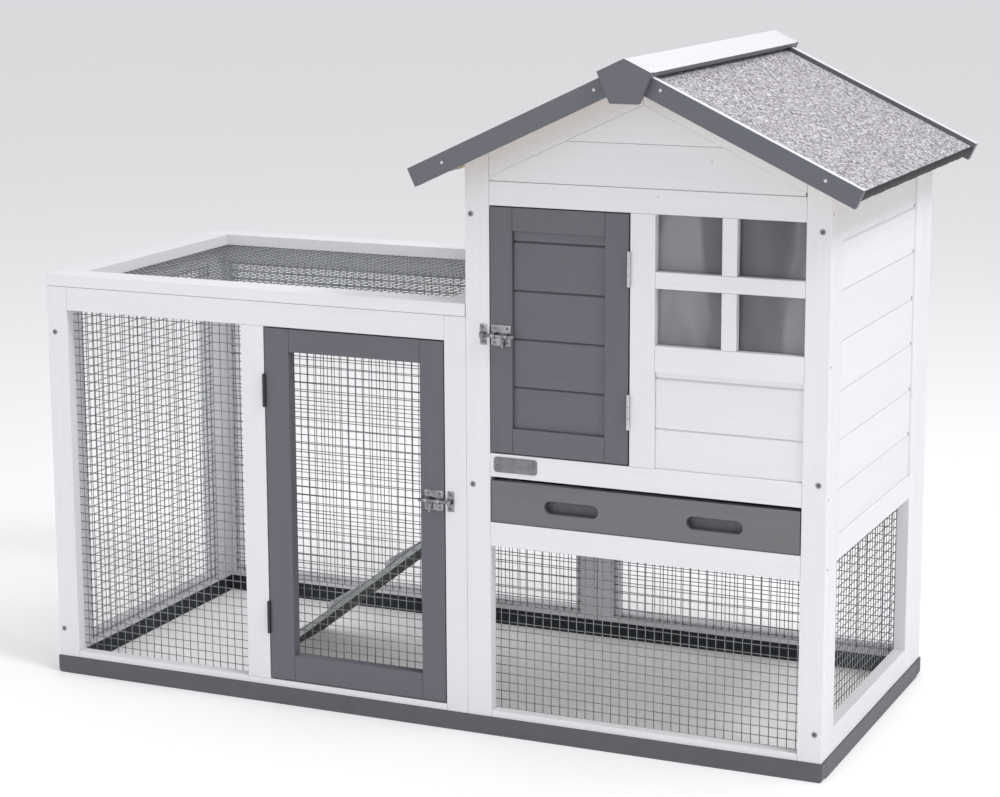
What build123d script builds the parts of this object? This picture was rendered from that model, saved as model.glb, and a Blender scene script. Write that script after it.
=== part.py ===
from build123d import *
import math
import os

# Two-storey rabbit hutch: a gabled house over a mesh under-space on the right,
# a mesh run with a hinged door on the left, a ramp between them and a
# pull-out tray under the house floor.  Millimetres, +Z up.
# X runs along the length (run on -X, house on +X), the doors face -Y.
# The working coordinates below start at the left front bottom corner of the
# timber frames; OX, OY, OZ shift them so that the part's origin is the middle
# of its bounding box on the ground.

# ---------------------------------------------------------------- sizes
L = 1200.0            # length over the posts
D = 505.0             # depth over the posts
T = 18.0              # thickness of every frame stick
SK_H = 26.0           # ground skirt height
SK_T = 20.0           # ground skirt thickness
SK_P = 2.0            # skirt stands proud of the posts
Z_RAIL = 10.0         # top of the front bottom rails
Z_BRAIL = 16.0        # top of the back and left bottom rails
Z_SRAIL = 35.0        # top of the right side bottom rail
RUN_H = 569.0         # top of the run walls
RUN_TR = 534.0        # underside of the run top rails
LID_T = 18.0          # thickness of the run roof frame
X_P1 = 34.0           # right edge of the left corner post
X_P2A, X_P2B = 328.0, 365.0      # middle run post
X_P3A, X_P3B = 650.0, 683.0      # right run post
X_H0, X_H1 = 683.0, 719.0        # left house post
X_M0, X_M1 = 924.0, 959.5        # post between the door and the window
X_R0 = 1166.0         # left edge of the right corner post
XC = 941.5            # middle of the house
Y_ST = 54.0           # front stile of the side panels ends
Y_BS = 421.0          # back stiles of the side panels begin
YL_ST, YL_BS = 66.0, 429.0   # the same on the run's left panel
HINGE_Y = -2.6        # middle of the hinge barrels, in front of the faces
Z_LOW = 249.0         # top of the opening below the house
Z_TR0 = 283.0         # tray slot, bottom
Z_TR1 = 348.0         # tray slot, top
Z_SILL = 381.0        # top of the rail above the tray
Z_HEAD = 725.0        # underside of the house head rail
SLOPE = 25.15         # roof slope in degrees
TAN = math.tan(math.radians(SLOPE))
COS = math.cos(math.radians(SLOPE))
SIN = math.sin(math.radians(SLOPE))
Z_APEX = 905.5        # where the undersides of the roof panels meet
ROOF_T = 10.0         # roof panel thickness
FELT_T = 2.2          # roofing felt thickness
EAVE = 1252.0         # X of the right eave, top corner of the felt
BARGE_X = 1257.5      # X of the right barge board's upper corner
BARGE_H = 27.0        # barge board depth
BARGE_T = 12.0        # barge board thickness
YB0, YB1 = -60.0, 538.0          # outer faces of the barge boards
YC0, YC1 = -72.0, 550.0          # ends of the ridge cap
WIRE = 1.1            # mesh wire thickness
PITCH = 12.7          # mesh pitch
LAP = 7.0             # mesh overlap behind its frame
PIN = 1.0             # hinge pin radius
KNUCKLE = 2.4         # hinge barrel radius
HINGE_L = 48.0        # hinge length
RAMP_A = 38.1         # ramp slope in degrees
RAMP_Y0, RAMP_Y1 = 152.0, 352.0
TRAY_TRAVEL = 400.0   # how far the tray pulls out

OX, OY, OZ = 627.0, 245.0, SK_H  # shift from the working coordinates

os.makedirs("parts", exist_ok=True)


# ---------------------------------------------------------------- helpers
def stick(x0, x1, y0, y1, z0, z1, mode=Mode.ADD):
    """A straight rectangular piece given by its six faces."""
    with Locations(((x0 + x1) / 2 - OX, (y0 + y1) / 2 - OY, (z0 + z1) / 2 + OZ)):
        Box(x1 - x0, y1 - y0, z1 - z0, mode=mode)


def plate_xz(points, y0, y1, mode=Mode.ADD):
    """A flat piece with a polygon outline in X and Z, from y0 back to y1."""
    with BuildSketch(Plane.XZ.offset(-(y0 - OY))) as outline:
        with BuildLine():
            Polyline(*[(x - OX, z + OZ) for x, z in points], close=True)
        make_face()
    extrude(outline.sketch, amount=-(y1 - y0), mode=mode)


def plate_yz(points, x0, x1, mode=Mode.ADD):
    """A flat piece with a polygon outline in Y and Z, from x0 to x1."""
    with BuildSketch(Plane.YZ.offset(x0 - OX)) as outline:
        with BuildLine():
            Polyline(*[(y - OY, z + OZ) for y, z in points], close=True)
        make_face()
    extrude(outline.sketch, amount=x1 - x0, mode=mode)


def under(x):
    """Height of the underside of the roof panels at x."""
    return Z_APEX - TAN * abs(x - XC)


def spread(a, b, pitch):
    """Wire positions between a and b, centred, at the mesh pitch."""
    n = int((b - a) // pitch)
    first = (a + b) / 2 - n * pitch / 2
    return [first + i * pitch for i in range(n + 1)]


def sticks(centres, dx, dy, dz):
    """Equal rectangular pieces at the given centres."""
    with Locations(*[(x - OX, y - OY, z + OZ) for x, y, z in centres]):
        Box(dx, dy, dz)


def mesh_xz(x0, x1, z0, z1, y):
    """Welded mesh in an upright X-Z panel, front face at y, two wire layers."""
    w = WIRE - 0.02
    xs, zs = spread(x0 + 1, x1 - 1, PITCH), spread(z0 + 1, z1 - 1, PITCH)
    sticks([(x, y + w / 2, (z0 + z1) / 2) for x in xs], WIRE, w, z1 - z0)
    sticks([((x0 + x1) / 2, y + 2 * WIRE - w / 2, z) for z in zs], x1 - x0, w, WIRE)


def mesh_yz(y0, y1, z0, z1, x, sign):
    """Welded mesh in an upright Y-Z panel, outer face at x, layers towards sign."""
    w = WIRE - 0.02
    ys, zs = spread(y0 + 1, y1 - 1, PITCH), spread(z0 + 1, z1 - 1, PITCH)
    sticks([(x + sign * w / 2, y, (z0 + z1) / 2) for y in ys], w, WIRE, z1 - z0)
    sticks([(x + sign * (2 * WIRE - w / 2), (y0 + y1) / 2, z) for z in zs], w, y1 - y0, WIRE)


def mesh_xy(x0, x1, y0, y1, z):
    """Welded mesh in a level panel, upper face at z, layers downwards."""
    w = WIRE - 0.02
    xs, ys = spread(x0 + 1, x1 - 1, PITCH), spread(y0 + 1, y1 - 1, PITCH)
    sticks([(x, (y0 + y1) / 2, z - w / 2) for x in xs], WIRE, y1 - y0, w)
    sticks([((x0 + x1) / 2, y, z - 2 * WIRE + w / 2) for y in ys], x1 - x0, WIRE, w)


def barrel(x, y, z0, z1, radius, mode=Mode.ADD):
    """An upright round barrel or pin."""
    with BuildSketch(Plane.XY.offset(z0 + OZ)) as ring:
        with Locations((x - OX, y - OY)):
            Circle(radius)
    extrude(ring.sketch, amount=z1 - z0, mode=mode)


def rod_x(x0, x1, y, z, radius, mode=Mode.ADD):
    """A round rod along X."""
    with BuildSketch(Plane.YZ.offset(x0 - OX)) as ring:
        with Locations((y - OY, z + OZ)):
            Circle(radius)
    extrude(ring.sketch, amount=x1 - x0, mode=mode)


def rod_y(x, z, y0, y1, radius, mode=Mode.ADD):
    """A round rod along Y, from y0 back to y1."""
    with BuildSketch(Plane.XZ.offset(-(y0 - OY))) as ring:
        with Locations((x - OX, z + OZ)):
            Circle(radius)
    extrude(ring.sketch, amount=-(y1 - y0), mode=mode)


def save(builder, name):
    builder.part.label = name
    export_step(builder.part, "parts/" + name + ".step")


# ---------------------------------------------------------------- ground skirt
with BuildPart() as skirt_front:
    stick(-SK_P, L + SK_P, -SK_P, SK_T - SK_P, -SK_H, 0)
save(skirt_front, "skirt_front")

with BuildPart() as skirt_back:
    stick(-SK_P, L + SK_P, D - SK_T + SK_P, D + SK_P, -SK_H, 0)
save(skirt_back, "skirt_back")

with BuildPart() as skirt_left:
    stick(-SK_P, SK_T - SK_P, SK_T - SK_P, D - SK_T + SK_P, -SK_H, 0)
save(skirt_left, "skirt_left")

with BuildPart() as skirt_right:
    stick(L - SK_T + SK_P, L + SK_P, SK_T - SK_P, D - SK_T + SK_P, -SK_H, 0)
save(skirt_right, "skirt_right")

# ---------------------------------------------------------------- run frames
with BuildPart() as run_front_frame:
    stick(0, X_P1, 0, T, 0, RUN_H)
    stick(X_P2A, X_P2B, 0, T, Z_RAIL, RUN_TR)
    stick(X_P3A, X_P3B, 0, T, 0, RUN_H)
    stick(X_P1, X_P3A, 0, T, RUN_TR, RUN_H)
    stick(X_P1, X_P3A, 0, T, 0, Z_RAIL)
save(run_front_frame, "run_front_frame")

with BuildPart() as run_left_frame:
    stick(0, T, T, YL_ST, 0, RUN_H)
    stick(0, T, YL_BS, D - T, 0, RUN_H)
    stick(0, T, YL_ST, YL_BS, RUN_TR, RUN_H)
    stick(0, T, YL_ST, YL_BS, 0, Z_BRAIL)
save(run_left_frame, "run_left_frame")

with BuildPart() as run_back_frame:
    stick(0, X_P1, D - T, D, 0, RUN_H)
    stick(X_P3A - 1, X_P3B, D - T, D, 0, RUN_H)
    stick(X_P1, X_P3A - 1, D - T, D, RUN_TR, RUN_H)
    stick(X_P1, X_P3A - 1, D - T, D, 0, Z_BRAIL)
save(run_back_frame, "run_back_frame")

with BuildPart() as run_front_mesh:
    mesh_xz(X_P1 - LAP, X_P2A + LAP, Z_RAIL - LAP, RUN_TR + LAP, T)
save(run_front_mesh, "run_front_mesh")

with BuildPart() as run_left_mesh:
    mesh_yz(YL_ST - LAP, YL_BS + LAP, Z_BRAIL - LAP, RUN_TR + LAP, T, 1)
save(run_left_mesh, "run_left_mesh")

with BuildPart() as run_back_mesh:
    mesh_xz(X_P1 - LAP, X_P3A - 1 + LAP, Z_BRAIL - LAP, RUN_TR + LAP, D - T - 2 * WIRE)
save(run_back_mesh, "run_back_mesh")

# ---------------------------------------------------------------- run roof lid
LID_W = 42.0          # width of the roof frame sticks
LID_Y = 46.0          # width of the long roof frame sticks
with BuildPart() as run_roof_frame:
    stick(0, X_P3B - 1, 0, LID_Y, RUN_H + 0.4, RUN_H + LID_T)
    stick(0, X_P3B - 1, D - LID_Y, D, RUN_H + 0.4, RUN_H + LID_T)
    stick(0, LID_W, LID_Y, D - LID_Y, RUN_H + 0.4, RUN_H + LID_T)
    stick(X_P3B - 1 - LID_W, X_P3B - 1, LID_Y, D - LID_Y, RUN_H + 0.4, RUN_H + LID_T)
save(run_roof_frame, "run_roof_frame")

with BuildPart() as run_roof_mesh:
    mesh_xy(LID_W - LAP, X_P3B - 1 - LID_W + LAP, LID_Y - LAP, D - LID_Y + LAP, RUN_H + 0.4)
save(run_roof_mesh, "run_roof_mesh")

# ---------------------------------------------------------------- hinges
def hinge_fixed(xp, toward, zc):
    """Fixed leaf on the post face xp, its two end knuckles and the pin between them."""
    ax, third = xp + toward * 1.0, HINGE_L / 3
    z0, z1 = zc - HINGE_L / 2, zc + HINGE_L / 2
    xa, xb = sorted((xp, xp + toward * 0.7))
    barrel(ax, HINGE_Y, z0, z0 + third, KNUCKLE)
    barrel(ax, HINGE_Y, z1 - third, z1, KNUCKLE)
    barrel(ax, HINGE_Y, z0 + third + 0.05, z1 - third - 0.05, PIN)
    stick(xa, xb, -0.15, 15.0, z0, z1)


def hinge_moving(xp, toward, zc):
    """Moving leaf on the door edge with the middle knuckle."""
    ax, ay = xp + toward * 1.0, HINGE_Y
    third = HINGE_L / 3
    a, b = zc - third / 2 + 0.35, zc + third / 2 - 0.35
    xa, xb = sorted((xp + toward * 1.3, xp + toward * 2.0))
    barrel(ax, ay, a, b, KNUCKLE)
    stick(xa, xb, ay, 1.0, a, b)
    barrel(ax, ay, a, b, PIN + 0.3, mode=Mode.SUBTRACT)
    stick(xa, xb, 0.6, 15.0, zc - HINGE_L / 2, zc + HINGE_L / 2)


RUN_HZ = (104.0, 441.0)
HOUSE_HZ = (456.0, 650.0)

with BuildPart() as run_door_hinges_fixed:
    for zc in RUN_HZ:
        hinge_fixed(X_P2B, 1, zc)
save(run_door_hinges_fixed, "run_door_hinges_fixed")

with BuildPart() as run_door_hinges_moving:
    for zc in RUN_HZ:
        hinge_moving(X_P2B, 1, zc)
save(run_door_hinges_moving, "run_door_hinges_moving")

with BuildPart() as house_door_hinges_fixed:
    for zc in HOUSE_HZ:
        hinge_fixed(X_M0, -1, zc)
save(house_door_hinges_fixed, "house_door_hinges_fixed")

with BuildPart() as house_door_hinges_moving:
    for zc in HOUSE_HZ:
        hinge_moving(X_M0, -1, zc)
save(house_door_hinges_moving, "house_door_hinges_moving")

# ---------------------------------------------------------------- run door
RD_X0, RD_X1 = X_P2B + 2.0, X_P3A - 1.5
RD_Z0, RD_Z1 = Z_RAIL + 2.0, RUN_TR - 2.0
RD_IX0, RD_IX1 = 405.5, 612.0
RD_IZ0, RD_IZ1 = 50.0, 499.0

with BuildPart() as run_door_frame:
    stick(RD_X0, RD_IX0, 0, T, RD_Z0, RD_Z1)
    stick(RD_IX1, RD_X1, 0, T, RD_Z0, RD_Z1)
    stick(RD_IX0, RD_IX1, 0, T, RD_Z0, RD_IZ0)
    stick(RD_IX0, RD_IX1, 0, T, RD_IZ1, RD_Z1)
save(run_door_frame, "run_door_frame")

with BuildPart() as run_door_mesh:
    mesh_xz(RD_IX0 - LAP, RD_IX1 + LAP, RD_IZ0 - LAP, RD_IZ1 + LAP, T)
save(run_door_mesh, "run_door_mesh")

# ---------------------------------------------------------------- tower bolts
# A bolt: a base plate with two raised straps, a round rod that slides in them,
# a lever on the rod, and a keeper on the post.  "s" is the direction in which
# the rod slides to lock.
ROD = 2.4             # bolt rod radius
BZ_RUN = 306.0
BZ_HOUSE = 547.0
BOLT_T = 1.0          # plate thickness
BOLT_Y = -6.2         # middle of the rod, in front of the face
BOLT_STROKE = 8.0      # how far the rod slides
ROD_L = 44.0          # rod length


def bolt_plate(xe, s, zc):
    """Plate whose edge nearest the post is at xe."""
    xa, xb = sorted((xe, xe - s * 29.0))
    stick(xa, xb, -BOLT_T, 0, zc - 14.5, zc + 14.5)
    for off in (2.5, 21.5):
        ya, yb = sorted((xe - s * off, xe - s * (off + 5.0)))
        stick(ya, yb, BOLT_Y - ROD - 1.6, -BOLT_T, zc - ROD - 1.7, zc - ROD - 0.35)
        stick(ya, yb, BOLT_Y - ROD - 1.6, -BOLT_T, zc + ROD + 0.35, zc + ROD + 1.7)
        stick(ya, yb, BOLT_Y - ROD - 1.6, BOLT_Y - ROD - 0.35, zc - ROD - 1.7, zc + ROD + 1.7)


def bolt_rod(xk, s, zc):
    """Rod in its retracted position, its tip just short of the keeper's strap."""
    xa, xb = sorted((xk + s * 1.2, xk + s * (1.2 - ROD_L)))
    rod_x(xa, xb, BOLT_Y, zc, ROD)


def bolt_keeper(xk, s, zc):
    """Keeper on the post, its near edge at xk."""
    xa, xb = sorted((xk, xk + s * 10.0))
    stick(xa, xb, -BOLT_T, 0, zc - 14.5, zc + 14.5)
    ya, yb = sorted((xk + s * 2.5, xk + s * 7.5))
    stick(ya, yb, BOLT_Y - ROD - 1.6, -BOLT_T, zc - ROD - 1.7, zc - ROD - 0.35)
    stick(ya, yb, BOLT_Y - ROD - 1.6, -BOLT_T, zc + ROD + 0.35, zc + ROD + 1.7)
    stick(ya, yb, BOLT_Y - ROD - 1.6, BOLT_Y - ROD - 0.35, zc - ROD - 1.7, zc + ROD + 1.7)


def bolt_lever(xk, s, zc):
    """Lever ring on the rod between the straps, hanging down, with a round end."""
    xl = xk + s * (1.2 - 27.0)
    rod_x(xl - 1.6, xl + 1.6, BOLT_Y, zc, ROD + 1.3)
    stick(xl - 1.6, xl + 1.6, BOLT_Y - 1.4, BOLT_Y + 1.4, zc - 13.0, zc - ROD)
    rod_y(xl, zc - 14.0, BOLT_Y - 1.8, BOLT_Y + 1.8, 3.0)
    rod_x(xl - 3.2, xl + 3.2, BOLT_Y, zc, ROD, mode=Mode.SUBTRACT)


RB_X = RD_X1 - 1.0    # plate edge on the run door
RK_X = X_P3A + 4.0    # near edge of the keeper on the run post
HD_X0, HD_X1 = X_H1 + 1.5, X_M0 - 2.0
HB_X = HD_X0 + 1.7
HK_X = X_H1 - 3.8

with BuildPart() as run_bolt_plate:
    bolt_plate(RB_X, 1, BZ_RUN)
save(run_bolt_plate, "run_bolt_plate")
with BuildPart() as run_bolt_rod:
    bolt_rod(RK_X, 1, BZ_RUN)
save(run_bolt_rod, "run_bolt_rod")
with BuildPart() as run_bolt_lever:
    bolt_lever(RK_X, 1, BZ_RUN)
save(run_bolt_lever, "run_bolt_lever")
with BuildPart() as run_bolt_keeper:
    bolt_keeper(RK_X, 1, BZ_RUN)
save(run_bolt_keeper, "run_bolt_keeper")

with BuildPart() as house_bolt_plate:
    bolt_plate(HB_X, -1, BZ_HOUSE)
save(house_bolt_plate, "house_bolt_plate")
with BuildPart() as house_bolt_rod:
    bolt_rod(HK_X, -1, BZ_HOUSE)
save(house_bolt_rod, "house_bolt_rod")
with BuildPart() as house_bolt_lever:
    bolt_lever(HK_X, -1, BZ_HOUSE)
save(house_bolt_lever, "house_bolt_lever")
with BuildPart() as house_bolt_keeper:
    bolt_keeper(HK_X, -1, BZ_HOUSE)
save(house_bolt_keeper, "house_bolt_keeper")

# ---------------------------------------------------------------- house front
GAP = 0.3             # clearance between the wall tops and the roof panels


def top(x):
    return under(x) - GAP


with BuildPart() as house_front_posts:
    plate_xz([(X_H0, 0), (X_H1, 0), (X_H1, top(X_H1)), (X_H0, top(X_H0))], 0, T)
    plate_xz([(X_R0, 0), (L, 0), (L, top(L)), (X_R0, top(X_R0))], 0, T)
    stick(X_M0, X_M1, 0, T, Z_SILL + 0.1, Z_HEAD - 0.1)
save(house_front_posts, "house_front_posts")

with BuildPart() as house_front_rails:
    stick(X_H1, X_R0, 0, T, 0, Z_RAIL)
    stick(X_H1, X_R0, 0, T, Z_LOW, Z_TR0)
    stick(X_H1, X_R0, 0, T, Z_TR1, Z_SILL)
    stick(X_H1, X_R0, 0, T, Z_HEAD, 758.0)
    stick(X_M1, X_R0, 0, T, 513.0, 549.0)
save(house_front_rails, "house_front_rails")

with BuildPart() as window_bars:
    stick(X_M1, X_R0, 0, 12, 626.0, 648.5)
    stick(1052, 1073, 0, 12, 549.2, 625.8)
    stick(1052, 1073, 0, 12, 648.7, Z_HEAD - 0.2)
save(window_bars, "window_bars")

with BuildPart() as window_pane:
    stick(X_M1 + 0.2, X_R0 - 0.2, 12.2, 14.4, 549.2, Z_HEAD - 0.2)
save(window_pane, "window_pane")


def board_x(x0, x1, z0, z1, y0, y1, groove=3.0):
    """Lap board facing the front, with a sloped upper front edge."""
    plate_yz([(y0, z0), (y1, z0), (y1, z1), (y0 + groove, z1), (y0, z1 - groove)], x0, x1)


with BuildPart() as house_front_boards:
    board_x(X_M1 + 0.2, X_R0 - 0.2, Z_SILL + 0.2, 436.6, 4, 13)
    board_x(X_M1 + 0.2, X_R0 - 0.2, 436.9, 505.7, 4, 13)
    stick(X_M1 + 0.2, X_R0 - 0.2, 4, 13, 506.0, 512.8)
save(house_front_boards, "house_front_boards")

RAF = 37.0            # vertical width of the gable rafters


def low(x):
    return under(x) - RAF


with BuildPart() as gable_rafters:
    for yr in (0, D - T):
        plate_xz([(X_H1 + 0.2, low(X_H1)), (XC - 0.15, low(XC)), (XC - 0.15, top(XC)), (X_H1 + 0.2, top(X_H1))], yr, yr + T)
        plate_xz([(X_R0 - 0.2, low(X_R0)), (XC + 0.15, low(XC)), (XC + 0.15, top(XC)), (X_R0 - 0.2, top(X_R0))], yr, yr + T)
save(gable_rafters, "gable_rafters")


def gable_boards(y0, y1):
    """Two boards that close the gable between head rail and rafters."""
    z1, z2 = 758.3, 816.3
    xa = XC - (Z_APEX - RAF - GAP - z1) / TAN
    xa = max(xa, X_H1 + 0.2)
    xs = XC - (Z_APEX - RAF - GAP - z2) / TAN
    za = low(xa) - GAP
    plate_xz([(xa, z1), (2 * XC - xa, z1), (2 * XC - xa, max(za, z1 + 1)), (2 * XC - xs, z2), (xs, z2), (xa, max(za, z1 + 1))], y0, y1)
    xt = XC - (Z_APEX - RAF - GAP - (z2 + 0.3)) / TAN
    plate_xz([(xt, z2 + 0.3), (2 * XC - xt, z2 + 0.3), (XC, low(XC) - GAP)], y0, y1)


with BuildPart() as gable_boards_front:
    gable_boards(1.2, 12.0)
save(gable_boards_front, "gable_boards_front")

with BuildPart() as lower_front_mesh:
    mesh_xz(X_H1 - LAP, X_R0 + LAP, Z_RAIL - LAP, Z_LOW + LAP, T)
save(lower_front_mesh, "lower_front_mesh")

# ---------------------------------------------------------------- house door
HD_Z0, HD_Z1 = Z_SILL + 2.0, Z_HEAD - 1.5
HD_IX0, HD_IX1 = 753.0, 888.0
HD_IZ0, HD_IZ1 = 418.0, 691.5

with BuildPart() as house_door_frame:
    stick(HD_X0, HD_IX0, 0, T, HD_Z0, HD_Z1)
    stick(HD_IX1, HD_X1, 0, T, HD_Z0, HD_Z1)
    stick(HD_IX0, HD_IX1, 0, T, HD_Z0, HD_IZ0)
    stick(HD_IX0, HD_IX1, 0, T, HD_IZ1, HD_Z1)
save(house_door_frame, "house_door_frame")

with BuildPart() as house_door_boards:
    xa, xb = HD_IX0 + 0.2, HD_IX1 - 0.2
    for za, zb in ((HD_IZ0 + 0.2, 476.2), (476.5, 543.3), (543.6, 610.3), (610.6, 677.6)):
        board_x(xa, xb, za, zb, 5, 14)
    stick(xa, xb, 5, 14, 677.9, HD_IZ1 - 0.2)
save(house_door_boards, "house_door_boards")

# ---------------------------------------------------------------- house sides
BZ = (300.0, 362.0, 428.3, 495.0, 561.5, 629.5, 695.0)   # lap board joints


def board_y(x0, x1, z0, z1, y0, y1, out, groove=3.0):
    """Lap board on a side wall; out is +1 when its face is at x1."""
    if out > 0:
        plate_xz([(x0, z0), (x1, z0), (x1, z1 - groove), (x1 - groove, z1), (x0, z1)], y0, y1)
    else:
        plate_xz([(x0, z0), (x1, z0), (x1, z1), (x0 + groove, z1), (x0, z1 - groove)], y0, y1)


with BuildPart() as house_right_frame:
    for ya, yb in ((T, Y_ST), (Y_BS, 454.0), (454.0, D - T)):
        plate_xz([(L - T, 0), (L, 0), (L, top(L)), (L - T, top(L - T))], ya, yb)
    stick(L - T, L, Y_ST, Y_BS, 0, Z_SRAIL)
    stick(L - T, L, Y_ST, Y_BS, 266.5, BZ[0])
save(house_right_frame, "house_right_frame")

with BuildPart() as house_right_boards:
    for i in range(6):
        board_y(L - 12.0, L - 3.0, BZ[i] + 0.3, BZ[i + 1], Y_ST + 0.2, Y_BS - 0.2, 1)
    x0, x1 = L - 12.0, L - 3.0
    plate_xz([(x0, BZ[6] + 0.3), (x1, BZ[6] + 0.3), (x1, top(x1)), (x0, top(x0))], Y_ST + 0.2, Y_BS - 0.2)
save(house_right_boards, "house_right_boards")

with BuildPart() as lower_right_mesh:
    mesh_yz(Y_ST - LAP, Y_BS + LAP, Z_SRAIL - LAP, 266.5 + LAP, L - T, -1)
save(lower_right_mesh, "lower_right_mesh")

# The wall towards the run: posts and boards, with the rabbits' entrance
# between the ramp head and the run roof.
EN_Y0, EN_Y1 = 150.0, 354.0
EN_Z0, EN_Z1 = 352.0, 545.0
XL0 = X_H0 + 1.0
with BuildPart() as house_left_frame:
    for ya, yb in ((T, Y_ST), (Y_BS, 454.0), (454.0, D - T)):
        plate_xz([(XL0, Z_LOW), (XL0 + T, Z_LOW), (XL0 + T, top(XL0 + T)), (XL0, top(XL0))], ya, yb)
    stick(XL0, XL0 + T, Y_ST, Y_BS, 283.0, 318.0)
save(house_left_frame, "house_left_frame")

with BuildPart() as house_left_boards:
    xa, xb = XL0 + 3.0, XL0 + 12.0
    y0, y1 = Y_ST + 0.2, Y_BS - 0.2
    stick(xa, xb, y0, y1, 318.3, EN_Z0 - 0.3)
    board_y(xa, xb, EN_Z0, 428.0, y0, EN_Y0, -1)
    board_y(xa, xb, 428.3, 494.7, y0, EN_Y0, -1)
    board_y(xa, xb, EN_Z0, 428.0, EN_Y1, y1, -1)
    board_y(xa, xb, 428.3, 494.7, EN_Y1, y1, -1)
    stick(xa, xb, y0, EN_Y0, 495.0, EN_Z1 - 0.3)
    stick(xa, xb, EN_Y1, y1, 495.0, EN_Z1 - 0.3)
    board_y(xa, xb, EN_Z1, 611.0, y0, y1, -1)
    board_y(xa, xb, 611.3, 677.6, y0, y1, -1)
    board_y(xa, xb, 677.9, 744.3, y0, y1, -1)
    plate_xz([(xa, 744.6), (xb, 744.6), (xb, top(xb)), (xa, top(xa))], y0, y1)
save(house_left_boards, "house_left_boards")

# ---------------------------------------------------------------- house back
with BuildPart() as house_back_frame:
    plate_xz([(X_H0 + 1, 0), (X_H1, 0), (X_H1, top(X_H1)), (X_H0 + 1, top(X_H0 + 1))], D - T, D)
    plate_xz([(X_R0, 0), (L, 0), (L, top(L)), (X_R0, top(X_R0))], D - T, D)
    stick(X_H1, X_R0, D - T, D, 0, Z_BRAIL)
    stick(X_H1, X_R0, D - T, D, Z_LOW, Z_TR0)
    stick(X_H1, X_R0, D - T, D, Z_HEAD, 758.0)
save(house_back_frame, "house_back_frame")

with BuildPart() as house_back_boards:
    zz = (Z_TR0, 349.0, 415.6, 482.2, 548.8, 615.4, 682.0, Z_HEAD)
    for za, zb in zip(zz[:-1], zz[1:]):
        plate_yz([(D - 12, za + 0.3), (D - 3, za + 0.3), (D - 3, zb - 3.0), (D - 6, zb), (D - 12, zb)], X_H1 + 0.2, X_R0 - 0.2)
save(house_back_boards, "house_back_boards")

with BuildPart() as gable_boards_back:
    gable_boards(D - 12.0, D - 1.2)
save(gable_boards_back, "gable_boards_back")

with BuildPart() as lower_back_mesh:
    mesh_xz(X_H1 - LAP, X_R0 + LAP, Z_BRAIL - LAP, Z_LOW + LAP, D - T - 2 * WIRE)
save(lower_back_mesh, "lower_back_mesh")

# ---------------------------------------------------------------- tray
TX0, TX1 = X_H1 + 1.5, X_R0 - 1.5
TY1 = D - T - 5.0
with BuildPart() as tray_runners:
    stick(XL0 + T, XL0 + T + 34, T + 4, D - T, 266.0, Z_TR0)
    stick(L - T - 36.5, L - T - 2.5, T + 4, D - T, 266.0, Z_TR0)
save(tray_runners, "tray_runners")

with BuildPart() as tray_front:
    stick(TX0, TX1, 0, 12, Z_TR0 + 1.0, 342.5)
    for xc in (839.3, 1045.7):
        with BuildSketch(Plane.XZ.offset(OY)) as slot:
            with Locations((xc - OX, 311.8 + OZ)):
                SlotOverall(79.0, 18.0)
        extrude(slot.sketch, amount=-12, mode=Mode.SUBTRACT)
save(tray_front, "tray_front")

with BuildPart() as tray_pan:
    stick(TX0 + 4, TX1 - 4, 12, TY1, Z_TR0 + 1.0, 322.0)
    stick(TX0 + 5.0, TX1 - 5.0, 13.0, TY1 - 1.0, Z_TR0 + 2.0, 322.0, mode=Mode.SUBTRACT)
save(tray_pan, "tray_pan")

# ---------------------------------------------------------------- roof
PY0, PY1 = YB0 + BARGE_T, YB1 - BARGE_T


def slope_pt(side, along, up):
    """Point on a roof slope: along from the ridge, up from the underside."""
    x = XC + side * (along * COS + up * SIN)
    z = Z_APEX - along * SIN + up * COS
    return (x, z)


def ridge_pt(side, up, gap=0.1):
    """Point at the ridge joint, just off the middle plane."""
    return (XC + side * gap, Z_APEX + up / COS - gap * TAN)


# length along the slope from the ridge to the panel's eave edge
RUN_OUT = (EAVE - XC - (ROOF_T + FELT_T) * SIN) / COS


def slab(side, a0, a1, u0, u1, y0, y1):
    plate_xz([slope_pt(side, a0, u0), slope_pt(side, a1, u0), slope_pt(side, a1, u1), slope_pt(side, a0, u1)], y0, y1)


with BuildPart() as roof_panel_left:
    plate_xz([ridge_pt(-1, 0), slope_pt(-1, RUN_OUT, 0), slope_pt(-1, RUN_OUT, ROOF_T), ridge_pt(-1, ROOF_T)], PY0, PY1)
save(roof_panel_left, "roof_panel_left")

with BuildPart() as roof_panel_right:
    plate_xz([ridge_pt(1, 0), slope_pt(1, RUN_OUT, 0), slope_pt(1, RUN_OUT, ROOF_T), ridge_pt(1, ROOF_T)], PY0, PY1)
save(roof_panel_right, "roof_panel_right")

with BuildPart() as roof_felt_left:
    slab(-1, 8.0, RUN_OUT, ROOF_T, ROOF_T + FELT_T, PY0 + 0.3, PY1 - 0.3)
save(roof_felt_left, "roof_felt_left")

with BuildPart() as roof_felt_right:
    slab(1, 8.0, RUN_OUT, ROOF_T, ROOF_T + FELT_T, PY0 + 0.3, PY1 - 0.3)
save(roof_felt_right, "roof_felt_right")

# Barge boards: their upper edges stand above the felt.
B_UP = 18.3           # upper edge above the panel's underside
B_OUT = (BARGE_X - XC - B_UP * SIN) / COS


def barge(side, y0, y1):
    lo, hi = B_UP - BARGE_H, B_UP
    plate_xz([ridge_pt(side, lo), slope_pt(side, B_OUT, lo), slope_pt(side, B_OUT, hi), ridge_pt(side, hi)], y0, y1)


with BuildPart() as barge_boards:
    for yb in (YB0, YB1 - BARGE_T):
        barge(-1, yb, yb + BARGE_T)
        barge(1, yb, yb + BARGE_T)
save(barge_boards, "barge_boards")

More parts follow.
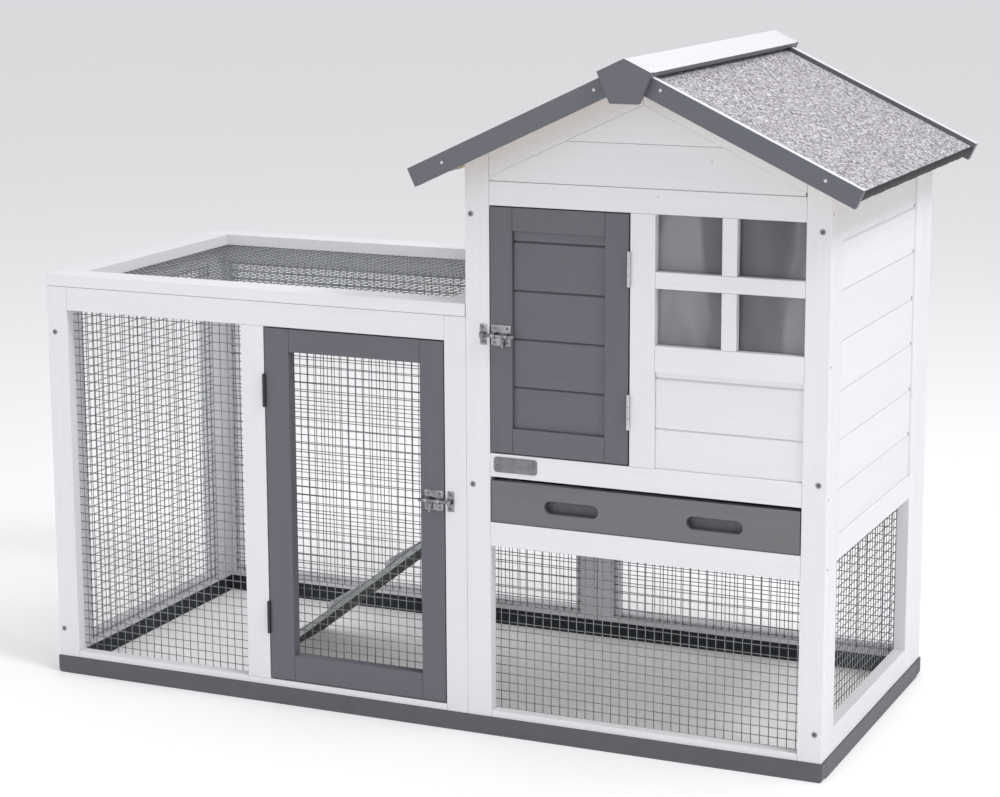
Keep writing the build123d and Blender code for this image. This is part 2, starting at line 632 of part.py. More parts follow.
# Ridge cap: two boards that meet along the ridge, on top of the barge boards.
CAP_W = 30.0          # board width along the slope
CAP_T = 7.0
CAP_UP = B_UP + 0.2


def cap_board(side):
    plate_xz([ridge_pt(side, CAP_UP), slope_pt(side, CAP_W, CAP_UP), slope_pt(side, CAP_W, CAP_UP + CAP_T), ridge_pt(side, CAP_UP + CAP_T)], YC0 + 10, YC1 - 10)


with BuildPart() as ridge_cap_boards:
    cap_board(-1)
    cap_board(1)
save(ridge_cap_boards, "ridge_cap_boards")

CX = CAP_W * COS + (CAP_UP + CAP_T) * SIN
CZ = Z_APEX - CAP_W * SIN + (CAP_UP + CAP_T) * COS
CA = Z_APEX + (CAP_UP + CAP_T) / COS


def gable_cap(y0, y1):
    plate_xz([(XC, CA), (XC + CX, CZ), (XC + 20, 875.0), (XC - 20, 875.0), (XC - CX, CZ)], y0, y1)


with BuildPart() as gable_caps:
    gable_cap(YC0, YC0 + 10 - 0.2)
    gable_cap(YC1 - 10 + 0.2, YC1)
save(gable_caps, "gable_caps")

# ---------------------------------------------------------------- ramp
RT = 9.0
ra = math.radians(RAMP_A)
RTX, RTZ = XL0 - 1.5, 311.0        # upper end of the ramp, top edge
RLEN = (RTZ + SK_H) / math.sin(ra)


def ramp_pt(s, up):
    """Point at distance s down the ramp from its head, up from its top face."""
    return (RTX - s * math.cos(ra) - up * math.sin(ra), RTZ - s * math.sin(ra) + up * math.cos(ra))


with BuildPart() as ramp_plank:
    p = [ramp_pt(3.0, 0), ramp_pt(RLEN, 0), ramp_pt(RLEN - RT / math.tan(ra), -RT), ramp_pt(8.0, -RT)]
    plate_xz(p, RAMP_Y0, RAMP_Y1)
save(ramp_plank, "ramp_plank")

with BuildPart() as ramp_cleats:
    for s in (122, 246.5, 371, 495.5):
        if s < RLEN - 20:
            plate_xz([ramp_pt(s, 0), ramp_pt(s + 14, 0), ramp_pt(s + 14, 8), ramp_pt(s, 8)], RAMP_Y0 + 4, RAMP_Y1 - 4)
save(ramp_cleats, "ramp_cleats")

# ---------------------------------------------------------------- name plate
with BuildPart() as name_plate:
    stick(725.0, 789.5, -1.6, 0, 355.5, 377.0)
save(name_plate, "name_plate")

# ---------------------------------------------------------------- screws
SCREWS_FRONT = [(12.5, 500.5), (9.0, 43.0), (691.8, 712.0), (693.0, 334.7), (1187.5, 713.7), (1188.5, 380.5), (1190.0, 40.0)]
with BuildPart() as screws:
    for x, z in SCREWS_FRONT:
        rod_y(x, z, -1.0, 0, 3.4)
    for x, z in ((895.6, 891.0), (987.0, 893.0), (677.5, 787.4), (1207.5, 787.4)):
        rod_y(x, z, YB0 - 0.6, YB0, 2.2)
        rod_y(x, z, YB1, YB1 + 0.6, 2.2)
save(screws, "screws")
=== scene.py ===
import math
import random

import bmesh
import bpy
from mathutils import Matrix, Vector


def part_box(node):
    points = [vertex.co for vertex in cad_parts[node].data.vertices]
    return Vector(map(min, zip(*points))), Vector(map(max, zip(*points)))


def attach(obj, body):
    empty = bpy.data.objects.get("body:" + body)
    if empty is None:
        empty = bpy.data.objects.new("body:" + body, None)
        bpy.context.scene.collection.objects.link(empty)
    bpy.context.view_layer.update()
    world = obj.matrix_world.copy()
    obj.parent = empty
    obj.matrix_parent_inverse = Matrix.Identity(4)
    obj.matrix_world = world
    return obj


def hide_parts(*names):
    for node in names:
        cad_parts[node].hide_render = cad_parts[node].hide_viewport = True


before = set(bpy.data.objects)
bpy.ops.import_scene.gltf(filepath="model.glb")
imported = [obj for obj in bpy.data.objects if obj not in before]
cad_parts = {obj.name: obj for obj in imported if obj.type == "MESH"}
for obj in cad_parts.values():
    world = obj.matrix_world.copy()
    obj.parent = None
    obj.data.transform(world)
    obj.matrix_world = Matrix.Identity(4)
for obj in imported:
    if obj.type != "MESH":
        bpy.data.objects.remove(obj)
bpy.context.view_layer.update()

rnd = random.Random(11)

# ------------------------------------------------------------------ frame helpers
# Working millimetres: x from the run's left post, y from the posts' front face,
# z from the top of the skirt.  They are tied to the frame by the skirt's box.
_lo, _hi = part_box("skirt_front")
OX = -(_lo[0] * 1000 + 2.0)
OY = -(_lo[1] * 1000 + 2.0)
OZ = _hi[2] * 1000


def P(x, y, z):
    return Vector(((x - OX) / 1000, (y - OY) / 1000, (z + OZ) / 1000))


# ------------------------------------------------------------------ node material helpers
def new_mat(name):
    m = bpy.data.materials.new(name)
    m.use_nodes = True
    nt = m.node_tree
    for n in list(nt.nodes):
        nt.nodes.remove(n)
    out = nt.nodes.new("ShaderNodeOutputMaterial")
    bs = nt.nodes.new("ShaderNodeBsdfPrincipled")
    nt.links.new(bs.outputs["BSDF"], out.inputs["Surface"])
    return m, nt, bs


def N(nt, kind, **kw):
    n = nt.nodes.new(kind)
    for k, v in kw.items():
        setattr(n, k, v)
    return n


def ramp(nt, src, stops, mode="LINEAR"):
    r = nt.nodes.new("ShaderNodeValToRGB")
    r.color_ramp.interpolation = mode
    els = r.color_ramp.elements
    while len(els) < len(stops):
        els.new(0.5)
    for e, (p, c) in zip(els, stops):
        e.position = p
        e.color = c if len(c) == 4 else (*c, 1)
    nt.links.new(src, r.inputs["Fac"])
    return r.outputs["Color"]


def mixc(nt, fac, a, b, blend="MIX"):
    m = nt.nodes.new("ShaderNodeMix")
    m.data_type = "RGBA"
    m.blend_type = blend
    for sock, val in ((m.inputs[0], fac), (m.inputs[6], a), (m.inputs[7], b)):
        if hasattr(val, "is_linked") or hasattr(val, "links"):
            nt.links.new(val, sock)
        elif isinstance(val, (int, float)):
            sock.default_value = val
        else:
            sock.default_value = val if len(val) == 4 else (*val, 1)
    return m.outputs[2]


def mathn(nt, op, a, b=None, c=None, clamp=False):
    m = nt.nodes.new("ShaderNodeMath")
    m.operation = op
    m.use_clamp = clamp
    for i, v in enumerate((a, b, c)):
        if v is None:
            continue
        if isinstance(v, (int, float)):
            m.inputs[i].default_value = v
        else:
            nt.links.new(v, m.inputs[i])
    return m.outputs[0]


def coords(nt, scale=(1, 1, 1), tone_shift=True):
    """Object coordinates in metres, moved about per stick, then scaled."""
    tc = nt.nodes.new("ShaderNodeTexCoord")
    vec = tc.outputs["Object"]
    if tone_shift:
        at = nt.nodes.new("ShaderNodeAttribute")
        at.attribute_name = "tone"
        sh = nt.nodes.new("ShaderNodeVectorMath")
        sh.operation = "SCALE"
        sh.inputs[0].default_value = (9.13, 7.31, 5.77)
        nt.links.new(at.outputs["Fac"], sh.inputs["Scale"])
        ad = nt.nodes.new("ShaderNodeVectorMath")
        ad.operation = "ADD"
        nt.links.new(vec, ad.inputs[0])
        nt.links.new(sh.outputs[0], ad.inputs[1])
        vec = ad.outputs[0]
    mp = nt.nodes.new("ShaderNodeMapping")
    mp.inputs["Scale"].default_value = scale
    nt.links.new(vec, mp.inputs["Vector"])
    return mp.outputs[0]


def noise(nt, vec, scale, detail=4.0, rough=0.55, dist=0.0):
    n = nt.nodes.new("ShaderNodeTexNoise")
    n.inputs["Scale"].default_value = scale
    n.inputs["Detail"].default_value = detail
    n.inputs["Roughness"].default_value = rough
    n.inputs["Distortion"].default_value = dist
    nt.links.new(vec, n.inputs["Vector"])
    return n.outputs["Fac"]


def bump(nt, h, strength, dist, prev=None):
    b = nt.nodes.new("ShaderNodeBump")
    b.inputs["Strength"].default_value = strength
    b.inputs["Distance"].default_value = dist
    nt.links.new(h, b.inputs["Height"])
    if prev is not None:
        nt.links.new(prev, b.inputs["Normal"])
    return b.outputs["Normal"]


AX = {"x": (3.0, 150.0, 150.0), "y": (150.0, 3.0, 150.0), "z": (150.0, 150.0, 3.0)}


def painted_wood(name, base, axis, rough=0.5, grain=0.5, contrast=0.06, warm=(0.0, 0.0, 0.0), dust=None):
    """Paint on planed softwood: grain telegraphs through the paint along the stick."""
    m, nt, bs = new_mat(name)
    fine = coords(nt, AX[axis])
    g1 = noise(nt, fine, 1.0, 5.0, 0.6, 0.35)
    broad = coords(nt, tuple(v / 6.0 for v in AX[axis]))
    g2 = noise(nt, broad, 1.0, 3.0, 0.5, 1.4)
    iso = coords(nt, (1, 1, 1))
    mott = noise(nt, iso, 9.0, 3.0, 0.5)
    brush = noise(nt, coords(nt, tuple(v * 3.2 for v in AX[axis])), 1.0, 2.0, 0.5)
    # sparse knots, stretched a little along the stick
    kn = nt.nodes.new("ShaderNodeTexVoronoi")
    kn.feature = "DISTANCE_TO_EDGE" if False else "F1"
    kscale = {"x": (3.2, 9.0, 9.0), "y": (9.0, 3.2, 9.0), "z": (9.0, 9.0, 3.2)}[axis]
    nt.links.new(coords(nt, kscale), kn.inputs["Vector"])
    kn.inputs["Scale"].default_value = 1.0
    kn.inputs["Randomness"].default_value = 1.0
    knot = ramp(nt, kn.outputs["Distance"], [(0.0, (1, 1, 1)), (0.05, (0.7, 0.7, 0.7)), (0.1, (0, 0, 0))])
    dark = tuple(c * (1 - contrast) for c in base)
    lite = tuple(min(1, c * (1 + contrast * 0.45)) for c in base)
    col = ramp(nt, g1, [(0.28, dark), (0.5, base), (0.75, lite)])
    col = mixc(nt, mathn(nt, "MULTIPLY", ramp(nt, g2, [(0.42, (0, 0, 0)), (0.6, (1, 1, 1))]), 0.35), col, tuple(c * (1 - contrast * 0.8) for c in base))
    col = mixc(nt, mathn(nt, "MULTIPLY", knot, 0.22), col, tuple(c * 0.86 + w for c, w in zip(base, warm)))
    col = mixc(nt, mathn(nt, "MULTIPLY", ramp(nt, mott, [(0.35, (0, 0, 0)), (0.75, (1, 1, 1))]), 0.25), col, tuple(c * 0.965 for c in base))
    at = nt.nodes.new("ShaderNodeAttribute")
    at.attribute_name = "tone"
    tw = ramp(nt, at.outputs["Fac"], [(0.0, (0.955, 0.955, 0.96)), (1.0, (1.0, 1.0, 1.0))])
    col = mixc(nt, 1.0, col, tw, "MULTIPLY")
    if dust is not None:
        tc = nt.nodes.new("ShaderNodeTexCoord")
        sp = nt.nodes.new("ShaderNodeSeparateXYZ")
        nt.links.new(tc.outputs["Object"], sp.inputs[0])
        near = nt.nodes.new("ShaderNodeMapRange")
        near.inputs["From Min"].default_value = 0.0
        near.inputs["From Max"].default_value = 0.10
        near.inputs["To Min"].default_value = 1.0
        near.inputs["To Max"].default_value = 0.0
        nt.links.new(sp.outputs["Z"], near.inputs["Value"])
        dn = noise(nt, iso, 45.0, 5.0, 0.65)
        fac = mathn(nt, "MULTIPLY", near.outputs[0], mathn(nt, "MULTIPLY", dn, 0.35), clamp=True)
        col = mixc(nt, fac, col, dust)
    nt.links.new(col, bs.inputs["Base Color"])
    rr = nt.nodes.new("ShaderNodeMapRange")
    rr.inputs["To Min"].default_value = rough - 0.07
    rr.inputs["To Max"].default_value = rough + 0.1
    nt.links.new(g2, rr.inputs["Value"])
    nt.links.new(rr.outputs[0], bs.inputs["Roughness"])
    bs.inputs["Specular IOR Level"].default_value = 0.42
    n1 = bump(nt, g1, grain, 0.00022)
    n2 = bump(nt, brush, grain * 0.5, 0.00010, n1)
    n3 = bump(nt, knot, 0.35, 0.0003, n2)
    nt.links.new(n3, bs.inputs["Normal"])
    return m


WHITE = (0.80, 0.80, 0.825)
GREY = (0.128, 0.130, 0.150)
DRAW = (0.168, 0.160, 0.168)
W = {a: painted_wood("white_paint_" + a, WHITE, a, 0.48, 0.55, 0.035, (0.015, 0.0, -0.02), dust=(0.62, 0.60, 0.56)) for a in "xyz"}
G = {a: painted_wood("grey_paint_" + a, GREY, a, 0.46, 0.4, 0.07) for a in "xyz"}
S = {a: painted_wood("skirt_paint_" + a, (0.086, 0.084, 0.102), a, 0.5, 0.5, 0.1, dust=(0.2, 0.19, 0.18)) for a in "xy"}
DR = {"x": painted_wood("drawer_paint_x", DRAW, "x", 0.44, 0.45, 0.09), "z": painted_wood("drawer_paint_z", DRAW, "z", 0.44, 0.6, 0.12)}
# Pale paint for the up-facing faces of the barge boards, ridge cap and gable caps: a painted highlight, the grey paint
# drawn light where light falls on it from above.
TOP_HIGHLIGHT_PAINT = {a: painted_wood("roof_top_painted_highlight_" + a, (0.74, 0.74, 0.77), a, 0.4, 0.7, 0.06) for a in "xy"}
# Near-black paint for the skirt boards' inward faces: painted shade, the shadowed inside of the skirt.
SKIRT_INNER_SHADE = painted_wood("skirt_inner_painted_shade", (0.018, 0.022, 0.026), "x", 0.6, 0.8, 0.3)
RAMPM = {a: painted_wood("ramp_wash_" + a, (0.56, 0.58, 0.57), a, 0.6, 0.8, 0.2) for a in "xy"}
# Near-black paint for the ramp plank's broad faces: painted shade, matched to the underside seen in shadow; the top
# face gets it too.
RAMP_SHADE = {"x": painted_wood("ramp_painted_shade_x", (0.014, 0.016, 0.016), "x", 0.7, 0.8, 0.3)}


def bare_wood(name, axis):
    m, nt, bs = new_mat(name)
    g1 = noise(nt, coords(nt, AX[axis]), 1.0, 6.0, 0.62, 0.6)
    wv = nt.nodes.new("ShaderNodeTexWave")
    wv.bands_direction = {"x": "Y", "y": "X", "z": "X"}[axis]
    wv.inputs["Scale"].default_value = 14.0
    wv.inputs["Distortion"].default_value = 6.0
    wv.inputs["Detail"].default_value = 3.0
    nt.links.new(coords(nt, {"x": (0.15, 1, 1), "y": (1, 0.15, 1), "z": (1, 1, 0.15)}[axis]), wv.inputs["Vector"])
    c1 = ramp(nt, g1, [(0.3, (0.42, 0.29, 0.17)), (0.55, (0.62, 0.46, 0.29)), (0.8, (0.70, 0.55, 0.37))])
    c2 = ramp(nt, wv.outputs["Fac"], [(0.2, (0.55, 0.37, 0.21)), (0.7, (0.70, 0.55, 0.37))])
    nt.links.new(mixc(nt, 0.45, c1, c2), bs.inputs["Base Color"])
    bs.inputs["Roughness"].default_value = 0.68
    nt.links.new(bump(nt, g1, 0.6, 0.0003), bs.inputs["Normal"])
    return m


BARE = {a: bare_wood("bare_fir_" + a, a) for a in "xy"}


def metal(name, base, rough, grain=0.0006, dark=0.6, metallic=1.0, bumpy=0.3):
    m, nt, bs = new_mat(name)
    v = coords(nt, (1, 1, 1), tone_shift=False)
    n1 = noise(nt, v, 900.0, 4.0, 0.6)
    n2 = noise(nt, v, 90.0, 3.0, 0.5)
    sp = nt.nodes.new("ShaderNodeTexVoronoi")
    sp.inputs["Scale"].default_value = 420.0
    nt.links.new(v, sp.inputs["Vector"])
    c = ramp(nt, n2, [(0.3, tuple(b * dark for b in base)), (0.65, base)])
    c = mixc(nt, mathn(nt, "MULTIPLY", sp.outputs["Distance"], 0.3), c, tuple(min(1, b * 1.12) for b in base))
    nt.links.new(c, bs.inputs["Base Color"])
    bs.inputs["Metallic"].default_value = metallic
    mr = nt.nodes.new("ShaderNodeMapRange")
    mr.inputs["To Min"].default_value = max(0.05, rough - 0.1)
    mr.inputs["To Max"].default_value = rough + 0.14
    nt.links.new(n1, mr.inputs["Value"])
    nt.links.new(mr.outputs[0], bs.inputs["Roughness"])
    nt.links.new(bump(nt, n1, bumpy, 0.00008), bs.inputs["Normal"])
    return m


M_WIRE = metal("galvanised_wire", (0.29, 0.30, 0.31), 0.42, dark=0.62, metallic=0.85)
M_ZINC = metal("zinc_plate", (0.37, 0.37, 0.385), 0.25, dark=0.42)
M_LEAF = metal("bright_zinc_leaf", (0.62, 0.62, 0.64), 0.34, dark=0.8)
M_SCREW = metal("screw_steel", (0.34, 0.34, 0.35), 0.34, dark=0.6)
M_DARK = metal("dark_hinge_steel", (0.05, 0.05, 0.058), 0.42, dark=0.6, metallic=0.5)
# Near-black steel: painted shade for the screws' cross recesses, also used for the small dark nail heads on the
# right-hand boards.
M_RECESS_SHADE_DARK_NAILS = metal("screw_recess_shade_dark_nails", (0.08, 0.08, 0.085), 0.6, dark=0.6, metallic=0.8)
M_PLATE = metal("pewter_plate", (0.24, 0.24, 0.25), 0.38, dark=0.7, metallic=0.9)
M_PIN = metal("white_pin_head", (0.62, 0.62, 0.64), 0.4, dark=0.8, metallic=0.3)


def felt_material(name, edge=False):
    m, nt, bs = new_mat(name)
    v = coords(nt, (1, 1, 1), tone_shift=False)
    vo = nt.nodes.new("ShaderNodeTexVoronoi")
    vo.inputs["Scale"].default_value = 430.0
    vo.inputs["Randomness"].default_value = 1.0
    nt.links.new(v, vo.inputs["Vector"])
    sep = nt.nodes.new("ShaderNodeSeparateColor")
    nt.links.new(vo.outputs["Color"], sep.inputs[0])
    pick = ramp(nt, sep.outputs[0], [(0.0, (0.04, 0.037, 0.045)), (0.14, (0.16, 0.15, 0.17)), (0.34, (0.36, 0.34, 0.375)), (0.56, (0.52, 0.50, 0.54)), (0.78, (0.76, 0.74, 0.78)), (1.0, (0.92, 0.90, 0.92))], "CONSTANT")
    cl = noise(nt, v, 170.0, 3.0, 0.6)
    pick = mixc(nt, mathn(nt, "MULTIPLY", ramp(nt, cl, [(0.45, (0, 0, 0)), (0.62, (1, 1, 1))]), 0.38), pick, (0.18, 0.17, 0.19))
    bg = noise(nt, v, 12.0, 3.0, 0.55)
    pick = mixc(nt, mathn(nt, "MULTIPLY", bg, 0.28), pick, (0.50, 0.47, 0.51))
    nt.links.new(pick, bs.inputs["Base Color"])
    bs.inputs["Roughness"].default_value = 0.86
    bs.inputs["Specular IOR Level"].default_value = 0.3
    h = mathn(nt, "SUBTRACT", 1.0, vo.outputs["Distance"])
    n1 = bump(nt, h, 0.9, 0.0009)
    n2 = bump(nt, noise(nt, v, 24.0, 2.0, 0.5), 0.35, 0.003, n1)
    nt.links.new(n2, bs.inputs["Normal"])
    return m


M_FELT = felt_material("mineral_felt")
m, nt, bs = new_mat("bitumen_edge")
v = coords(nt, (1, 1, 1), tone_shift=False)
nn = noise(nt, v, 380.0, 5.0, 0.6)
nt.links.new(ramp(nt, nn, [(0.35, (0.006, 0.006, 0.007)), (0.62, (0.02, 0.019, 0.02)), (0.8, (0.12, 0.115, 0.12))]), bs.inputs["Base Color"])
bs.inputs["Roughness"].default_value = 0.7
nt.links.new(bump(nt, nn, 0.8, 0.0008), bs.inputs["Normal"])
M_BITUMEN = m

m, nt, bs = new_mat("acrylic_pane")
v = coords(nt, (1, 1, 1), tone_shift=False)
reflection_streak_map = nt.nodes.new("ShaderNodeMapping")
reflection_streak_map.inputs["Rotation"].default_value = (0.0, 0.5, 0.0)
reflection_streak_map.inputs["Scale"].default_value = (16.0, 1.0, 3.4)
nt.links.new(v, reflection_streak_map.inputs["Vector"])
# dark grey tint with lighter diagonal streaks in the base colour: painted shade for the interior behind the clear pane,
# and painted reflection in the streaks
sm = noise(nt, reflection_streak_map.outputs[0], 1.0, 2.0, 0.45, 0.5)
nt.links.new(ramp(nt, sm, [(0.34, (0.13, 0.13, 0.15)), (0.5, (0.19, 0.19, 0.215)), (0.62, (0.34, 0.335, 0.37))]), bs.inputs["Base Color"])
bs.inputs["Roughness"].default_value = 0.06
bs.inputs["IOR"].default_value = 1.49
bs.inputs["Alpha"].default_value = 0.62
bs.inputs["Coat Weight"].default_value = 0.3
bs.inputs["Coat Roughness"].default_value = 0.04
nt.links.new(bump(nt, noise(nt, v, 14.0, 2.0, 0.5), 0.12, 0.002), bs.inputs["Normal"])
M_PANE = m

m, nt, bs = new_mat("tray_sheet")
v = coords(nt, (1, 1, 1), tone_shift=False)
nn = noise(nt, v, 260.0, 4.0, 0.6)
nt.links.new(ramp(nt, nn, [(0.3, (0.085, 0.085, 0.10)), (0.7, (0.125, 0.125, 0.145))]), bs.inputs["Base Color"])
bs.inputs["Roughness"].default_value = 0.5
nt.links.new(bump(nt, nn, 0.4, 0.0002), bs.inputs["Normal"])
M_TRAY = m


# ------------------------------------------------------------------ mesh building
class Piece:
    """Collects closed shells into one mesh, each with its own tone and material."""

    def __init__(self, name):
        self.name, self.v, self.f, self.mi, self.tone, self.mats, self.sm = name, [], [], [], [], [], []

    def _mat(self, mat):
        if mat not in self.mats:
            self.mats.append(mat)
        return self.mats.index(mat)

    def add(self, bm, mat, tone=None, smooth=True, pick=None):
        """Adds a bmesh; pick(normal, centre) may choose another material for a face."""
        tone = rnd.random() if tone is None else tone
        o = len(self.v)
        bm.verts.ensure_lookup_table()
        bm.verts.index_update()
        bm.normal_update()
        for q in bm.verts:
            self.v.append(q.co.copy())
            self.tone.append(tone)
        base = self._mat(mat)
        for f in bm.faces:
            self.f.append([o + q.index for q in f.verts])
            mm = pick(f.normal, f.calc_center_median()) if pick else None
            self.mi.append(self._mat(mm) if mm is not None else base)
            self.sm.append(smooth)
        bm.free()

    def prism(self, pts, axis, a, b, mat, bev=0.9, seg=2, tone=None, pick=None):
        """A closed prism: outline pts in the two other axes, extruded from a to b."""
        bm = bmesh.new()
        def mk(p, t):
            if axis == "y":
                return P(p[0], t, p[1])
            if axis == "x":
                return P(t, p[0], p[1])
            return P(p[0], p[1], t)
        lo = [bm.verts.new(mk(p, a)) for p in pts]
        hi = [bm.verts.new(mk(p, b)) for p in pts]
        bm.faces.new(lo)
        bm.faces.new(hi)
        n = len(pts)
        for i in range(n):
            bm.faces.new((lo[i], lo[(i + 1) % n], hi[(i + 1) % n], hi[i]))
        bmesh.ops.recalc_face_normals(bm, faces=bm.faces[:])
        if bev > 0:
            bmesh.ops.bevel(bm, geom=bm.edges[:], offset=bev / 1000, segments=seg, profile=0.5, affect="EDGES", clamp_overlap=True)
        self.add(bm, mat, tone, pick=pick)

    def box(self, x0, x1, y0, y1, z0, z1, mats, bev=0.9, seg=2, tone=None, pick=None):
        """A stick whose grain runs along its longest side."""
        d = {"x": x1 - x0, "y": y1 - y0, "z": z1 - z0}
        if isinstance(mats, dict):
            ax = max((k for k in d if k in mats), key=lambda k: d[k])
            mat = mats[ax]
        else:
            mat = mats
        self.prism([(x0, z0), (x1, z0), (x1, z1), (x0, z1)], "y", y0, y1, mat, bev, seg, tone, pick)

    def tube(self, path, r, mat, n=8, cap=True, tone=None):
        """A round wire or rod along a path of working points; r may be a list."""
        bm = bmesh.new()
        pts = [P(*p) for p in path]
        rings = []
        for i, p in enumerate(pts):
            t = (pts[min(i + 1, len(pts) - 1)] - pts[max(i - 1, 0)]).normalized()
            up = Vector((0, 0, 1)) if abs(t.z) < 0.9 else Vector((1, 0, 0))
            a = t.cross(up).normalized()
            b = t.cross(a).normalized()
            rr = (r[i] if isinstance(r, (list, tuple)) else r) / 1000
            rings.append([bm.verts.new(p + a * rr * math.cos(2 * math.pi * k / n) + b * rr * math.sin(2 * math.pi * k / n)) for k in range(n)])
        for i in range(len(rings) - 1):
            for k in range(n):
                bm.faces.new((rings[i][k], rings[i][(k + 1) % n], rings[i + 1][(k + 1) % n], rings[i + 1][k]))
        if cap:
            bm.faces.new(rings[0])
            bm.faces.new(rings[-1])
        bmesh.ops.recalc_face_normals(bm, faces=bm.faces[:])
        self.add(bm, mat, tone)

    def done(self, body, nodes=(), wn=True):
        me = bpy.data.meshes.new(self.name)
        me.from_pydata([tuple(q) for q in self.v], [], self.f)
        for mt in self.mats:
            me.materials.append(mt)
        me.polygons.foreach_set("material_index", self.mi)
        me.polygons.foreach_set("use_smooth", self.sm)
        at = me.attributes.new("tone", "FLOAT", "POINT")
        at.data.foreach_set("value", self.tone)
        me.update()
        ob = bpy.data.objects.new(self.name, me)
        bpy.context.scene.collection.objects.link(ob)
        if wn:
            mod = ob.modifiers.new("weighted", "WEIGHTED_NORMAL")
            mod.mode = "FACE_AREA"
            mod.weight = 50
            mod.keep_sharp = False
        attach(ob, body)
        if nodes:
            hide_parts(*nodes)
        return ob


# ------------------------------------------------------------------ sizes, as in the CAD
L, D, T = 1200.0, 505.0, 18.0
SK_H, SK_T, SK_P = 26.0, 20.0, 2.0
Z_RAIL, Z_BRAIL, Z_SRAIL = 10.0, 16.0, 35.0
RUN_H, RUN_TR, LID_T = 569.0, 534.0, 18.0
X_P1, X_P2A, X_P2B, X_P3A, X_P3B = 34.0, 328.0, 365.0, 650.0, 683.0
X_H0, X_H1, X_M0, X_M1, X_R0, XC = 683.0, 719.0, 924.0, 959.5, 1166.0, 941.5
Y_ST, Y_BS = 54.0, 421.0
YL_ST, YL_BS = 66.0, 429.0
Z_LOW, Z_TR0, Z_TR1, Z_SILL, Z_HEAD = 249.0, 283.0, 348.0, 381.0, 725.0
SL = math.radians(25.15)
TAN, COS, SIN = math.tan(SL), math.cos(SL), math.sin(SL)
Z_APEX, ROOF_T, FELT_T, EAVE, BARGE_X = 905.5, 10.0, 2.2, 1252.0, 1257.5
BARGE_H, BARGE_T = 27.0, 12.0
YB0, YB1, YC0, YC1 = -60.0, 538.0, -72.0, 550.0
WIRE, PITCH, LAP = 1.1, 12.7, 7.0


def top(x):
    return Z_APEX - TAN * abs(x - XC) - 0.3


def low(x):
    return Z_APEX - TAN * abs(x - XC) - 37.0


def spread(a, b, pitch):
    n = int((b - a) // pitch)
    first = (a + b) / 2 - n * pitch / 2
    return [first + i * pitch for i in range(n + 1)]


# ------------------------------------------------------------------ skirt
def eased(x0, x1, z0, z1, r, n=5):
    """Outline with its two lower corners rounded."""
    pts = [(x0, z1)]
    for k in range(n + 1):
        a = math.radians(180 + 90 * k / n)
        pts.append((x0 + r + r * math.cos(a), z0 + r + r * math.sin(a)))
    for k in range(n + 1):
        a = math.radians(270 + 90 * k / n)
        pts.append((x1 - r + r * math.cos(a), z0 + r + r * math.sin(a)))
    pts.append((x1, z1))
    return pts


# each skirt board's inward face takes the near-black paint: painted shade
p = Piece("skirt_front_board")
p.prism(eased(-2, L + 2, -26, 0, 5.5), "y", -2, 18, S["x"], bev=1.4, seg=3, pick=lambda n, c: SKIRT_INNER_SHADE if n.y > 0.6 else None)
p.done("root", ("skirt_front",))
p = Piece("skirt_back_board")
p.prism(eased(-2, L + 2, -26, 0, 5.5), "y", D - 18, D + 2, S["x"], bev=1.4, seg=3, pick=lambda n, c: SKIRT_INNER_SHADE if n.y < -0.6 else None)
p.done("root", ("skirt_back",))
p = Piece("skirt_left_board")
p.box(-2, 18, 18.1, D - 18.1, -26, 0, S["y"], bev=1.4, seg=3, pick=lambda n, c: SKIRT_INNER_SHADE if n.x > 0.6 else None)
p.done("root", ("skirt_left",))
p = Piece("skirt_right_board")
p.box(L - 18, L + 2, 18.1, D - 18.1, -26, 0, S["y"], bev=1.4, seg=3, pick=lambda n, c: SKIRT_INNER_SHADE if n.x < -0.6 else None)
p.done("root", ("skirt_right",))


# ------------------------------------------------------------------ frames
def frame_piece(name, sticks, mats, body):
    p = Piece(name + "_sticks")
    for s in sticks:
        p.box(*s, mats)
    return p.done(body, (name,))


frame_piece("run_front_frame", [
    (0, X_P1, 0, T, 0, RUN_H), (X_P2A, X_P2B, 0, T, Z_RAIL + .05, RUN_TR - .05), (X_P3A, X_P3B, 0, T, 0, RUN_H),
    (X_P1 + .1, X_P3A - .1, 0.1, T, RUN_TR, RUN_H), (X_P1 + .1, X_P3A - .1, 0.1, T, 0, Z_RAIL)], W, "root")
frame_piece("run_left_frame", [
    (0, T, T + .1, YL_ST, 0, RUN_H), (0, T, YL_BS, 463, 0, RUN_H), (0, T, 463.1, D - T - .1, 0, RUN_H),
    (0.1, T, YL_ST + .1, YL_BS - .1, RUN_TR, RUN_H), (0.1, T, YL_ST + .1, YL_BS - .1, 0, Z_BRAIL)], W, "root")
frame_piece("run_back_frame", [
    (0, X_P1, D - T, D, 0, RUN_H), (X_P3A - 1, X_P3B, D - T, D, 0, RUN_H),
    (X_P1 + .1, X_P3A - 1.1, D - T, D - .1, RUN_TR, RUN_H), (X_P1 + .1, X_P3A - 1.1, D - T, D - .1, 0, Z_BRAIL)], W, "root")
LW, LY, LZ0, LZ1 = 42.0, 46.0, RUN_H + .4, RUN_H + LID_T
frame_piece("run_roof_frame", [
    (0, X_P3B - 1, 0, LY, LZ0, LZ1), (0, X_P3B - 1, D - LY, D, LZ0, LZ1),
    (0, LW, LY + .1, D - LY - .1, LZ0, LZ1 - .1), (X_P3B - 1 - LW, X_P3B - 1, LY + .1, D - LY - .1, LZ0, LZ1 - .1)], W, "root")

